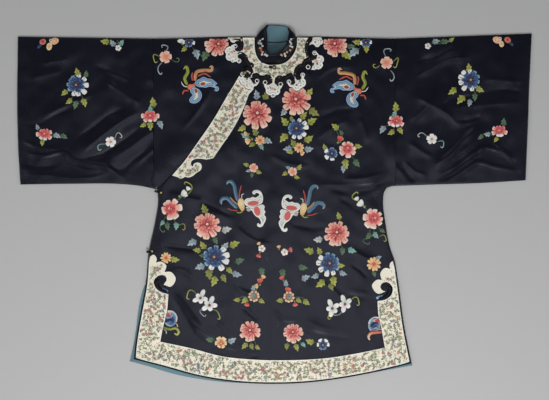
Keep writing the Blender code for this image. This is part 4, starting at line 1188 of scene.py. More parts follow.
class JACKET_OT_binding(bpy.types.Operator):
    """Makes the black binding round the vents and the hem"""
    bl_idname = "jacket.binding"
    bl_label = "Hem binding"

    def execute(self, context):
        rings = top_rings("hem_binding")
        plan, triangles = fill(rings, 0.004, inner_lines(rings[0], 0.0007, 0.0016))
        away = Near(dense(rings[0])).away(plan)
        rest = relax(surface_with().height(plan), triangles, 6)
        heights = rest + BINDING_HEIGHT - edge_drop(away, 0.0019, 0.0011)
        lay_cloth("hem_binding", plan, triangles, heights, "Black braid", BINDING_WALL, kind="braid")
        return {"FINISHED"}


def outline_runs(ring, keep):
    """The stretches of a closed ring whose points are kept."""
    if keep.all():
        return [np.vstack([ring, ring[:1]])]
    start = int(np.flatnonzero(~keep)[0])
    return runs(np.roll(ring, -start, axis=0), np.roll(keep, -start), 4)


class JACKET_OT_edging(bpy.types.Operator):
    """Lays the black piping and the white cord along the borders, and sews them down"""
    bl_idname = "jacket.edging"
    bl_label = "Piping, white cord and stitches"

    def execute(self, context):
        trim = context.scene.jacket_trim
        top = surface_with(*CREAM_PIECES)
        black, white, seams = [], [], []
        main_rim = Near(dense(RINGS["main_front"][0]))
        scrolls = Near(np.vstack([spline(np.array(path) * MM, 0.002) for path in SCROLLS]))
        for node in CREAM_PIECES:
            neck = node.startswith("neck")
            others = Near(np.vstack([
                dense(ring) for other in CREAM_PIECES if other != node for ring in RINGS[other]]))
            for ring in RINGS[node]:
                gap = others.away(ring)
                free = (gap > 0.004) & (ring[:, 1] < 0.46 if neck else main_rim.away(ring) > 0.0062)
                black += [laid(offset(run, -0.9 * trim.piping), ground_of(node), 0.7 * trim.piping)
                          for run in outline_runs(ring, free)]
                clear = (gap > 0.002) & (scrolls.away(ring) > 0.0080 if neck else True)
                for run in outline_runs(ring, clear):
                    white.append(laid(offset(run, 1.6 * trim.cord), top, 0.25 * trim.cord))
                    seams.append(laid(offset(run, 3.4 * trim.cord), top, 0.0001))
        cords("border_piping", black, trim.piping)
        cords("centre_seam", [laid(spline(CENTRE_SEAM, 0.006), surface_with(), -0.0001)], 0.00035, 5,
              slot_name="black_satin")
        cords("border_white_cord", white, trim.cord, look="White silk")
        grown("border_stitches", seams, stitch_tree(), {
            "Pitch": trim.stitch * 0.7, "Length": 0.0018, "Thickness": 0.00045}, "White silk")
        return {"FINISHED"}


# ---------------------------------------------------------------- collar and fastenings

def collar_grid():
    """Points of the collar's middle surface by station and row, and its outward directions."""
    knots = np.array(COLLAR)
    padded = np.vstack([2 * knots[0] - knots[1], knots, 2 * knots[-1] - knots[-2]])
    rows = []
    for span in range(len(knots) - 1):
        before, start, end, after = padded[span:span + 4]
        for part in np.arange(COLLAR_PARTS) / COLLAR_PARTS:
            rows.append(0.5 * (
                2 * start + (end - before) * part
                + (2 * before - 5 * start + 4 * end - after) * part**2
                + (3 * start - before - 3 * end + after) * part**3))
    rows = np.array([*rows, knots[-1]])
    base, top, swell = rows[:, None, 0:3], rows[:, None, 3:6], rows[:, None, 6:7]
    up = np.linspace(0.0, 1.0, COLLAR_ROWS)[None, :, None]

    def outward(surface):
        return unit(np.cross(np.gradient(surface, axis=1), np.gradient(surface, axis=0)), 1e-12)

    straight = base + (top - base) * up
    swollen = straight + outward(straight) * swell * 4 * up * (1 - up)
    return swollen, outward(swollen)


def grid_piece(name, grid, ways, sample, look, wall, node):
    """A piece made of a grid of points. Its faces look along the ways, as the sample face shows."""
    faces = grid_faces(*grid.shape[:2])
    points, ways = grid.reshape(-1, 3), ways.reshape(-1, 3)
    a, b, c = points[list(faces[sample][:3])]
    if np.dot(np.cross(b - a, c - a), ways[faces[sample][0]]) < 0:
        faces = [face[::-1] for face in faces]
    return add_piece(name, points, faces, look, wall=wall, node=node)


def grid_faces(stations, across):
    return [(row * across + column, row * across + column + 1,
             (row + 1) * across + column + 1, (row + 1) * across + column)
            for row in range(stations - 1) for column in range(across - 1)]


class JACKET_OT_collar(bpy.types.Operator):
    """Makes the stand collar, its lining and the cord along its top"""
    bl_idname = "jacket.collar"
    bl_label = "Stand collar"

    def execute(self, context):
        grid, out = collar_grid()
        outer = grid + out * 0.0014
        BUILT["collar"] = outer
        item = grid_piece("collar_band_satin", outer, out, 3 * COLLAR_ROWS, "Black satin",
                          COLLAR_WALL, "collar_band")

        first, last = (int(row * COLLAR_PARTS) for row in LINED_ROWS)
        inner = (grid - out * 0.0002)[first:last + 1]
        lining = grid_piece("collar_lining_silk", inner, -out[first:last + 1], 3, "Teal silk",
                            LINING_WALL, "collar_lining")

        cords("collar_front_cords", [grid[end] + out[end] * 0.0006 for end in (0, -1)], 0.0013, 8)
        cords("collar_edge_cord", [outer[:, -1] - out[:, -1] * 0.0006], 0.0010, 8)
        cords("collar_foot_cord", [outer[:, 0] + out[:, 0] * 0.0002 + np.array([0.0, 0.0, 0.0006])], 0.0008)
        return {"FINISHED"}


# A loop: the radius of its eye, half the distance between its legs, where its knots sit along
# them, the knots' half width and half height, and the radius of its cord.
EYE_RADIUS, LEG_ASIDE, KNOT_PLACES = 0.0047, 0.0015, (0.35, 0.62, 0.88)
KNOT_WIDE, KNOT_HIGH, LOOP_CORD = 0.0028, 0.0013, 0.00105
# A ball: its ribs' depth as a share of its radius, and the height above which it is flattened.
RIB_DEPTH, FLAT_FROM = 0.085, 0.86
# Loops: x, y of the ball, direction of the loop in degrees, its length.
BUTTONS = {
    "neck": (-0.0006, 0.3790, 180.0, 0.014), "collarbone": (-0.0815, 0.3640, 118.0, 0.014),
    "armpit": (-0.3130, 0.0330, 168.0, 0.018), "side": (-0.3380, -0.1290, 190.0, 0.015),
}


def melon_ball(name, radius, centre):
    """The mesh of a ribbed ball button with a small knob on its top."""
    shape = bmesh.new()
    bmesh.ops.create_uvsphere(shape, u_segments=48, v_segments=24, radius=radius)
    for point in shape.verts:
        turn = math.atan2(point.co.y, point.co.x)
        flat = math.hypot(point.co.x, point.co.y) / radius
        rib = 1.0 - RIB_DEPTH * (1.0 - abs(math.cos(4.0 * turn))) * flat
        point.co.x *= rib
        point.co.y *= rib
        if point.co.z > FLAT_FROM * radius:
            point.co.z -= 0.35 * (point.co.z - FLAT_FROM * radius)
        point.co += centre
    for up, wide in ((0.90, 0.22), (1.00, 0.11)):
        knob = bmesh.ops.create_uvsphere(shape, u_segments=12, v_segments=8, radius=wide * radius)["verts"]
        height = centre.z + up * radius - 0.12 * radius
        bmesh.ops.translate(shape, verts=knob, vec=(centre.x, centre.y, height))
    data = bpy.data.meshes.new(name)
    shape.to_mesh(data)
    shape.free()
    data.materials.append(LOOKS["Gilt"])
    data.shade_smooth()
    return data


class JACKET_OT_fastenings(bpy.types.Operator):
    """Makes the melon-shaped ball buttons, each with a small knob on its top, and their cord loops"""
    bl_idname = "jacket.fastenings"
    bl_label = "Ball buttons and loops"

    def execute(self, context):
        for key, (x, y, direction, length) in BUTTONS.items():
            low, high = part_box(f"button_{key}")
            name = f"button_{key}_ball"
            ball = melon_ball(name, context.scene.jacket_trim.ball, (low + high) / 2)
            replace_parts(set_out(name, ball), f"button_{key}")

            out, middle = heading(direction), np.array([x, y])
            side = left_of(out)
            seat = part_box(f"loop_{key}")[0].z
            eye = [middle - EYE_RADIUS * (out * math.cos(turn) - side * math.sin(turn))
                   for turn in np.linspace(0.62 * math.pi, -0.62 * math.pi, 17)]

            def stem(share):
                return middle + out * (LOOP_EYE + (length - LOOP_EYE) * share)

            legs = [stem(share) + side * aside
                    for aside, shares in (
                        (-LEG_ASIDE, np.linspace(0, 1, 5)), (LEG_ASIDE, np.linspace(1, 0, 5)))
                    for share in shares]
            flat = spline([*eye, *legs], 0.0008, closed=True)
            knots = [np.array([
                (*(stem(share) + side * KNOT_WIDE * math.cos(turn)),
                 seat + 0.0012 + KNOT_HIGH * math.sin(turn))
                for turn in np.linspace(0, 2 * math.pi, 13)[:-1]]) for share in KNOT_PLACES]
            loop = np.column_stack([flat, np.full(len(flat), seat + 0.0011)])
            cord = cords(f"loop_{key}_cord", [loop, *knots], LOOP_CORD, 8, closed=True)
            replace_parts(cord, f"loop_{key}")
        return {"FINISHED"}


# ---------------------------------------------------------------- embroidery

def dye(red, green, blue):
    """A thread's colour from 0 to 255 screen values."""
    values = np.array([red, green, blue]) / 255.0
    return np.where(values <= 0.04045, values / 12.92, ((values + 0.055) / 1.055) ** 2.4)


WINE, CORAL, SALMON, BLUSH, PALE = (
    dye(150, 38, 44), dye(206, 92, 86), dye(228, 138, 122), dye(236, 172, 154), dye(242, 212, 190))
NAVY, ROYAL, SKY, ICE, WHITE = (
    dye(20, 32, 70), dye(40, 72, 124), dye(104, 150, 188), dye(176, 204, 214), dye(240, 240, 232))
OCHRE, ORANGE, CREAM, SOOT, GREY = (
    dye(196, 140, 70), dye(222, 140, 92), dye(240, 214, 160), dye(30, 30, 36), dye(176, 186, 186))
LEAF_DYES = {
    "y": (dye(108, 114, 40), dye(166, 170, 72), dye(196, 198, 108)),
    "o": (dye(96, 104, 40), dye(136, 140, 62), dye(166, 166, 88)),
    "g": (dye(46, 76, 54), dye(80, 114, 80), dye(130, 152, 106)),
    "b": (dye(100, 122, 130), dye(154, 174, 180), dye(202, 214, 212)),
    "m": (dye(76, 132, 124), dye(126, 176, 162), dye(180, 208, 192)),
    "w": (dye(140, 150, 150), dye(196, 202, 196), dye(232, 234, 226)),
}
FLOWER_DYES = {
    "peony": (WINE, CORAL, SALMON, BLUSH, PALE),
    "blue": (NAVY, NAVY, ROYAL, SKY, ICE),
    "rose": (WINE, dye(208, 70, 74), dye(226, 116, 108), dye(238, 170, 158), WHITE),
    "cream": (dye(176, 96, 60), ORANGE, dye(232, 170, 120), CREAM, CREAM),
}
BUD_DYES = {
    "c": (OCHRE, dye(232, 176, 112), dye(244, 214, 158)), "w": (dye(160, 190, 204), WHITE, WHITE),
    "r": (WINE, dye(206, 66, 62), dye(230, 128, 112)),
}

# Motifs, with lengths in millimetres. Flowers: kind, x, y, size, turn, direction of the long or pale
# petals.
FLOWERS = (
    ("peony", -48, 247, 86, 10, -95), ("peony", 62, 286, 86, 40, -60),
    ("peony", -160, 443, 72, 0, 200), ("peony", 169, 441, 72, 25, -60),
    ("peony", -187, -60, 80, 15, -100), ("peony", 173, -82, 75, 30, -85),
    ("peony", -68, -352, 61, 0, -90), ("peony", 51, -357, 58, 20, -90),
    ("blue", -544, 330, 66, 0, -10), ("blue", 538, 344, 66, 20, 190), ("blue", 65, 209, 61, 0, -20),
    ("blue", 156, 140, 39, 30, 200), ("blue", -162, -148, 78, 10, -30),
    ("blue", 148, -165, 69, 35, 205), ("blue", 134, -386, 36, 0, 90),
    ("blue", -237, 451, 36, 0, 90), ("blue", 253, 451, 36, 0, 90),
    ("rose", -344, 240, 54, 0, -90), ("rose", 336, 226, 54, 20, -90), ("rose", -283, -14, 61, 0, -20),
    ("rose", 270, -40, 61, 40, 200), ("rose", 201, 151, 50, 0, -110), ("rose", -636, 190, 53, 10, -90),
    ("rose", 621, 199, 53, 30, -90), ("plum", -453, 173, 33, 0, 0), ("plum", 435, 181, 33, 20, 0),
    ("peach", -301, 408, 39, 0, 0), ("peach", 310, 392, 39, 15, 0), ("peach", -58, 101, 28, 10, 0),
    ("peach", 50, 91, 28, 40, 0), ("plum", -35, -122, 22, 0, 0), ("plum", 28, -132, 22, 30, 0),
    ("plum", -432, 433, 19, 0, 0), ("plum", 424, 438, 19, 0, 0), ("daisy", -40, 177, 30, 0, 0),
    ("daisy", 68, 157, 30, 0, 0), ("daisy", -300, -148, 33, 0, 0), ("daisy", 275, -165, 42, 10, 0),
    ("fruit", -57, -254, 31, 0, 150), ("fruit", 40, -256, 31, 0, 30), ("cream", -148, -381, 36, 0, 90),
    ("orchid", -205, -259, 47, 62, 0), ("orchid", -180, -279, 50, 68, 0),
    ("orchid", 160, -288, 50, 108, 0), ("orchid", 195, -276, 50, 112, 0),
)
# Leaves: x, y, length, dye.
LEAVES = (
    (-544, 366, 25, "y"), (-580, 308, 22, "y"), (-549, 275, 25, "g"), (-527, 281, 25, "y"),
    (-569, 286, 22, "y"), (-522, 361, 19, "g"), (-334, 283, 28, "y"), (-345, 264, 22, "m"),
    (-345, 217, 25, "y"), (-317, 220, 25, "b"), (-364, 220, 19, "y"), (-602, 189, 22, "b"),
    (-583, 187, 22, "g"), (-641, 170, 17, "y"), (-657, 214, 17, "b"), (-469, 452, 25, "y"),
    (-447, 447, 22, "b"), (-422, 447, 19, "m"), (536, 378, 25, "y"), (491, 314, 28, "y"),
    (569, 319, 25, "y"), (516, 289, 30, "y"), (538, 281, 22, "b"), (555, 297, 22, "g"),
    (334, 270, 28, "y"), (334, 250, 22, "m"), (322, 200, 22, "y"), (300, 206, 25, "b"),
    (347, 203, 22, "y"), (635, 228, 22, "g"), (588, 195, 19, "b"), (569, 187, 19, "g"),
    (613, 178, 17, "y"), (447, 450, 22, "b"), (472, 452, 25, "g"), (491, 455, 17, "y"),
    (-217, 415, 28, "b"), (-191, 410, 30, "g"), (-251, 430, 19, "y"), (-259, 452, 17, "m"),
    (198, 411, 30, "y"), (220, 419, 33, "b"), (228, 450, 25, "y"), (253, 430, 22, "y"),
    (212, 436, 22, "g"), (-51, 303, 28, "b"), (-24, 303, 28, "o"), (-91, 211, 25, "y"),
    (-81, 191, 25, "m"), (-62, 164, 19, "o"), (-19, 174, 25, "b"), (-35, 159, 19, "m"),
    (-55, 201, 25, "o"), (95, 310, 30, "y"), (24, 255, 22, "b"), (27, 229, 28, "y"),
    (82, 245, 25, "y"), (110, 256, 33, "o"), (105, 229, 28, "y"), (48, 238, 17, "o"),
    (26, 183, 30, "y"), (94, 183, 28, "y"), (55, 169, 28, "o"), (36, 155, 25, "b"),
    (43, 144, 19, "y"), (95, 154, 25, "b"), (-79, 109, 17, "y"), (-43, 90, 17, "y"),
    (-62, 81, 14, "g"), (-73, 92, 14, "b"), (68, 104, 19, "y"), (29, 84, 17, "y"),
    (62, 76, 17, "y"), (37, 101, 14, "m"), (167, 214, 25, "y"), (184, 198, 17, "g"),
    (231, 159, 22, "y"), (198, 112, 28, "y"), (228, 115, 25, "g"), (192, 98, 22, "b"),
    (140, 159, 19, "y"), (-192, -11, 28, "o"), (-132, -71, 28, "w"), (-162, -100, 22, "g"),
    (-137, -114, 25, "b"), (-110, -111, 30, "y"), (-197, -112, 25, "y"), (-215, -128, 22, "y"),
    (-199, -143, 19, "g"), (-206, -174, 28, "b"), (-96, -157, 26, "g"), (-125, -184, 22, "y"),
    (-104, -192, 28, "b"), (-179, -193, 30, "o"), (-169, -212, 30, "y"), (-139, -204, 25, "o"),
    (-228, -107, 28, "b"), (95, -129, 28, "y"), (123, -129, 22, "y"), (187, -129, 22, "g"),
    (215, -126, 25, "m"), (184, -168, 22, "y"), (190, -190, 22, "b"), (79, -173, 26, "g"),
    (87, -204, 25, "b"), (112, -198, 22, "b"), (126, -218, 30, "y"), (165, -212, 28, "y"),
    (156, -229, 22, "o"), (179, -31, 22, "y"), (120, -96, 25, "w"), (-37, -187, 25, "g"),
    (-57, -231, 19, "b"), (-84, -265, 22, "y"), (-104, -265, 19, "y"), (-35, -267, 19, "y"),
    (24, -190, 25, "g"), (33, -218, 19, "b"), (68, -265, 19, "y"), (89, -270, 22, "y"),
    (15, -267, 19, "y"), (-295, -60, 22, "g"), (-273, -60, 22, "m"), (-311, -51, 17, "m"),
    (259, -87, 22, "g"), (281, -85, 22, "m"), (298, -74, 17, "g"), (-275, -151, 25, "y"),
    (275, -193, 17, "g"), (289, -148, 17, "b"), (-118, -375, 25, "b"), (-179, -373, 22, "g"),
    (-82, -392, 22, "y"), (-62, -393, 19, "o"), (-46, -395, 17, "y"), (98, -378, 25, "y"),
    (60, -396, 22, "y"), (35, -393, 19, "o"), (79, -389, 17, "m"),
)
# Tendrils and stems: start, bend and end as x, y, then dye and width.
TENDRILS = (
    (-303, 422, -295, 436, -309, 441, "b", 4.4), (-317, 408, -334, 414, -331, 394, "y", 4.4),
    (-286, 402, -270, 394, -264, 402, "g", 3.9), (-309, 394, -322, 378, -317, 361, "b", 5.0),
    (309, 408, 303, 427, 320, 430, "b", 4.4), (328, 394, 342, 405, 336, 380, "y", 4.4),
    (292, 386, 281, 378, 273, 383, "y", 3.9), (320, 372, 331, 355, 325, 342, "b", 5.0),
    (-441, 181, -433, 198, -422, 189, "w", 3.6), (-466, 167, -486, 164, -486, 151, "m", 4.4),
    (422, 187, 408, 198, 397, 192, "w", 3.6), (450, 173, 466, 175, 466, 159, "m", 4.4),
    (-242, 26, -228, 48, -245, 62, "y", 4.4), (-278, 4, -264, 15, -253, 23, "g", 3.9),
    (231, 9, 215, 20, 226, 34, "y", 4.4), (259, -18, 248, -7, 239, 1, "g", 3.9),
    (-215, -248, -234, -237, -242, -259, "y", 5.0), (-195, -290, -206, -295, -195, -309, "b", 3.6),
    (-173, -292, -159, -295, -151, -314, "y", 4.4), (206, -270, 226, -256, 234, -276, "y", 5.0),
    (170, -295, 154, -301, 148, -314, "y", 4.4), (187, -290, 181, -303, 165, -306, "b", 3.3),
    (-303, -54, -317, -63, -309, -76, "g", 3.6), (-267, -60, -251, -54, -248, -68, "y", 3.6),
    (256, -93, 245, -101, 259, -110, "g", 3.6), (289, -90, 303, -85, 309, -99, "y", 3.6),
    (-40, -198, -46, -220, -51, -240, "g", 2.5),
    (26, -201, 32, -223, 37, -240, "g", 2.5),
    (-68, -259, -84, -254, -101, -262, "g", 2.5), (51, -259, 71, -256, 90, -267, "g", 2.5),
    (-585, 189, -605, 189, -621, 189, "g", 2.5), (569, 189, 585, 195, 599, 198, "g", 2.5),
    (-469, 450, -450, 441, -433, 447, "g", 2.5), (430, 447, 453, 444, 486, 452, "g", 2.5),
    (167, 209, 179, 189, 184, 175, "g", 2.8), (-46, 170, -57, 181, -71, 181, "g", 2.5),
)
# Buds: x, y, length, dye, direction.
BUDS = (
    (-73, 176, 19, "c", 200), (-259, 452, 17, "w", 120), (181, 181, 19, "r", 60),
    (-40, -212, 17, "r", 90), (37, -237, 17, "r", 80), (-251, 29, 22, "w", 30),
    (239, 2, 22, "w", 140), (-43, -109, 11, "c", 120), (-43, -141, 14, "r", -110),
    (12, -118, 11, "c", 100), (43, -126, 14, "r", 10), (-32, -201, 14, "c", 60),
    (21, -204, 14, "r", 120), (-76, -276, 14, "r", -100), (57, -276, 14, "r", -80),
    (-51, -226, 14, "c", 0), (-79, 195, 14, "c", 180), (76, 142, 14, "c", -40),
    (-239, 43, 14, "w", 60), (228, 15, 14, "w", 120),
)

# The two kinds of butterfly, from the body's middle: wings as outlines, body, then feelers and tails.
WAIST_BUTTERFLY = {
    "upper": ((7.3, 1.8), (10.3, 8.8), (16.1, 13.1), (24.1, 13.8), (31.7, 17.1), (39.1, 14.8),
              (44.9, 18.0), (50.2, 23.1), (46.5, 27.2), (40.3, 27.7), (37.3, 23.5), (32.2, 24.9),
              (30.8, 30.0), (35.4, 34.6), (42.6, 36.2), (50.7, 34.1), (56.7, 27.7), (59.9, 17.3),
              (60.3, 8.8), (58.0, 0.9), (50.7, -4.2), (39.1, -6.9), (27.6, -9.7), (16.1, -8.8),
              (10.3, -4.2)),
    "lower": ((12.6, -12.0), (25.3, -10.1), (39.1, -9.2), (50.7, -6.0), (59.9, -4.2), (65.0, -10.4),
              (63.3, -18.0), (66.8, -24.2), (64.0, -32.3), (68.2, -39.2), (67.3, -48.4),
              (63.3, -56.5), (59.4, -63.4), (53.0, -66.9), (46.0, -65.0), (43.7, -58.8),
              (47.4, -55.4), (51.1, -59.1), (54.8, -56.5), (53.4, -49.6), (48.3, -41.5),
              (41.4, -37.4), (34.5, -30.0), (29.9, -21.9), (20.7, -17.3)),
    "body": ((7.3, 0.0), (6.4, 8.8), (1.3, 13.8), (-5.2, 12.9), (-8.9, 6.9), (-9.3, -4.6),
             (-4.7, -13.8), (1.3, -22.1), (7.3, -20.3), (9.6, -11.5)),
    "tails": (
        (((-9.8, 5.8), (-16.5, 31.0), (-20.5, 50.5), (-28.7, 59.5), (-37.0, 58.8), (-39.8, 51.0)),
         9.5, "blue"),
        (((-11.0, -13.8), (-26.0, 0.7), (-40.5, 13.6), (-51.5, 11.8), (-56.8, 4.0), (-53.5, -3.5)),
         10.0, "blue"),
        (((-9.3, -4.2), (-22.0, 5.8), (-31.2, 17.3)), 3.2, "orange"),
        (((-5.9, 13.8), (-4.2, 31.1), (0.4, 49.6)), 3.2, "red"),
        (((1.3, 14.3), (2.2, 23.1), (8.7, 25.4)), 2.2, "white"),
        (((-9.3, -21.2), (-25.5, -19.6), (-39.3, -14.3)), 2.6, "red"),
        (((4.5, -21.9), (-2.4, -26.5), (-13.9, -25.8)), 2.8, "green"),
    ),
    "bands": (WHITE, WHITE, dye(132, 166, 150), dye(196, 204, 184)),
    "scallop": [dye(142, 170, 156), WHITE, WHITE],
    "spots": (((33.0, -1.0), 15.5, 6.8, 6.0), ((44.0, -22.5), 8.5, 13.5, 16.0)),
    "eye": (20.7, -17.3), "body_dye": (dye(206, 152, 100), dye(226, 196, 134), dye(236, 220, 176)),
}
SHOULDER_BUTTERFLY = {
    "upper": ((9.2, 8.8), (15.0, 18.0), (24.2, 23.1), (34.6, 28.1), (46.1, 24.0), (57.7, 21.9),
              (66.9, 15.7), (72.7, 8.8), (68.0, 3.5), (73.8, 1.8), (78.0, -4.2), (75.0, -11.1),
              (68.7, -12.9), (64.1, -9.2), (66.9, -5.1), (60.0, -1.2), (50.7, 0.5), (41.5, -2.3),
              (32.3, -1.2), (20.8, 0.0)),
    "lower": ((4.6, 4.6), (-2.3, -3.5), (-1.8, -13.8), (3.5, -23.1), (-1.2, -28.8), (-5.1, -35.8),
              (-2.8, -42.7), (6.9, -46.1), (16.1, -44.3), (25.4, -37.4), (30.4, -25.4),
              (28.8, -15.0), (23.1, -7.4), (15.0, -2.8)),
    "body": ((-10.4, 2.3), (-5.8, 7.4), (2.3, 7.4), (12.7, 10.4), (16.1, 5.8), (4.6, 0.0),
             (-2.3, -8.1), (-8.1, -5.8)),
    "tails": (
        (((-10.4, 6.5), (-17.3, 23.1), (-8.8, 43.8), (-13.4, 56.5), (-21.2, 48.9)), 8.0, "green"),
        (((10.4, 17.3), (16.1, 41.5), (39.2, 46.6), (57.7, 47.3), (58.8, 56.5), (50.3, 54.9)), 9.0,
         "orange"),
        (((4.6, 17.3), (2.3, 32.3), (4.6, 41.5)), 4.0, "red"),
        (((-8.1, 0.0), (-18.5, 2.3), (-27.7, 15.0)), 2.6, "white"),
        (((-6.9, -10.4), (-18.5, -10.4), (-24.2, -20.8)), 4.0, "red"),
        (((18.5, 30.0), (36.9, 36.9), (55.4, 26.5)), 3.6, "red"),
    ),
    "bands": (dye(60, 104, 150), ICE, WHITE, dye(226, 220, 190)),
    "scallop": [dye(36, 78, 128), dye(110, 156, 196), ICE],
    "spots": (((33.0, 8.0), 7.5, 5.0, 10.0), ((14.0, -11.0), 4.5, 7.0, 20.0)),
    "eye": None, "body_dye": (dye(190, 66, 44), dye(226, 110, 76), dye(232, 150, 110)),
}
BUTTERFLY_KINDS = {"waist": WAIST_BUTTERFLY, "shoulder": SHOULDER_BUTTERFLY}
TAIL_DYES = {
    "blue": (dye(40, 80, 116), dye(82, 128, 160), dye(164, 198, 208)),
    "orange": (dye(190, 116, 70), dye(218, 158, 100), CREAM),
    "red": (dye(150, 44, 44), dye(206, 78, 70), dye(226, 130, 118)), "white": (GREY, WHITE, WHITE),
    "green": (dye(104, 128, 40), dye(168, 184, 64), dye(198, 206, 104)),
}
# Butterflies: kind, x, y, direction in which the wings open (1 right, -1 left), turn in degrees.
BUTTERFLIES = (
    ("waist", -92, 4, 1, 0), ("waist", 80, -9, -1, 0),
    ("shoulder", -231, 325, 1, 0), ("shoulder", 231, 313, -1, -6),
)


# Parts of butterflies that run out at an edge: x, y, width, height, tilt, dyes, layer. Their streaks
# and tails: path, width, dyes.
EDGE_SHAPES = (
    (-289, -316, 38, 44, 10, [SKY, ROYAL, ICE], 0), (-294, -306, 18, 20, 0, [WINE, CORAL, PALE], 1),
    (-283, -318, 16, 24, 20, [NAVY, ROYAL, SKY], 1), (-286, -330, 22, 10, -10, [ROYAL, SKY], 1.5),
    (276, -335, 34, 38, -10, [SKY, ROYAL, ICE], 0), (284, -322, 22, 16, 15, [WINE, CORAL, WHITE], 1),
    (276, -338, 20, 24, 0, [NAVY, ROYAL, SKY], 1),
    (-305, -237, 23, 11, -20, [NAVY, ROYAL, SKY], 0), (293, -257, 25, 10, 10, [ROYAL, SKY, ICE], 0),
    (-609, 452, 25, 19, 20, [CREAM, dye(226, 160, 110), PALE], 0),
    (-623, 437, 16, 22, -10, [dye(226, 160, 110), CREAM, CREAM], 0),
    (-641, 450, 19, 16, 30, [WINE, CORAL, ORANGE], 0.5), (-650, 438, 8, 16, -40, [NAVY, ROYAL], 0.4),
    (-619, 454, 9, 9, 0, [SOOT, WHITE], 2),
    (616, 455, 25, 19, -20, [CREAM, dye(226, 160, 110), PALE], 0),
    (628, 444, 14, 18, 10, [dye(226, 160, 110), CREAM, CREAM], 0),
    (645, 455, 19, 16, -30, [WINE, CORAL, ORANGE], 0.5), (655, 445, 8, 16, 40, [NAVY, ROYAL], 0.4),
    (624, 459, 9, 9, 0, [SOOT, WHITE], 2),
)
EDGE_STREAKS = (
    (((-296, -294), (-280, -297), (-271, -309), (-271, -325)), 4, [WHITE, ICE, WHITE]),
    (((-302, -326), (-290, -319), (-277, -329)), 5, [NAVY, NAVY, ROYAL]),
    (((-300, -312), (-288, -312), (-281, -304)), 4, [ICE, SKY, ICE]),
    (((-274, -327), (-269, -333), (-268, -339)), 3, [CORAL, PALE]),
    (((260, -330), (265, -319), (277, -312), (290, -313)), 4, [WHITE, ICE, WHITE]),
    (((266, -338), (277, -328), (288, -330)), 5, [NAVY, NAVY, ROYAL]),
    (((270, -346), (281, -341), (290, -344)), 3.5, [SKY, ICE, SKY]),
)
EDGE_TAILS = (
    (((-310, -338), (-290, -345), (-272, -343), (-265, -352), (-270, -360), (-277, -356)), 8,
     LEAF_DYES["y"]),
    (((-308, -344), (-300, -350), (-299, -358)), 4, LEAF_DYES["m"]),
    (((300, -353), (280, -354), (264, -358), (260, -368), (264, -375)), 9, [CORAL, ORANGE, PALE]),
    (((300, -345), (280, -346), (266, -350)), 4, [CREAM, CORAL, WINE]),
)


def shades(share, stops, at=None):
    """The colours at these shares of the way along some stops."""
    stops = np.asarray(stops, float)
    at = np.linspace(0.0, 1.0, len(stops)) if at is None else at
    return np.stack([np.interp(share, at, stops[:, channel]) for channel in range(3)], axis=1)


def dress(data, tint, lay):
    """Gives a mesh the colours of its threads and the way that its stitches lie."""
    tint = np.column_stack([tint, np.ones(len(tint))]).astype(np.float32)
    data.attributes.new("tint", "FLOAT_COLOR", "POINT").data.foreach_set("color", tint.ravel())
    corners = np.empty(len(data.loops), int)
    data.loops.foreach_get("vertex_index", corners)
    data.uv_layers.new(name="stitch").data.foreach_set("uv", lay[corners].astype(np.float32).ravel())


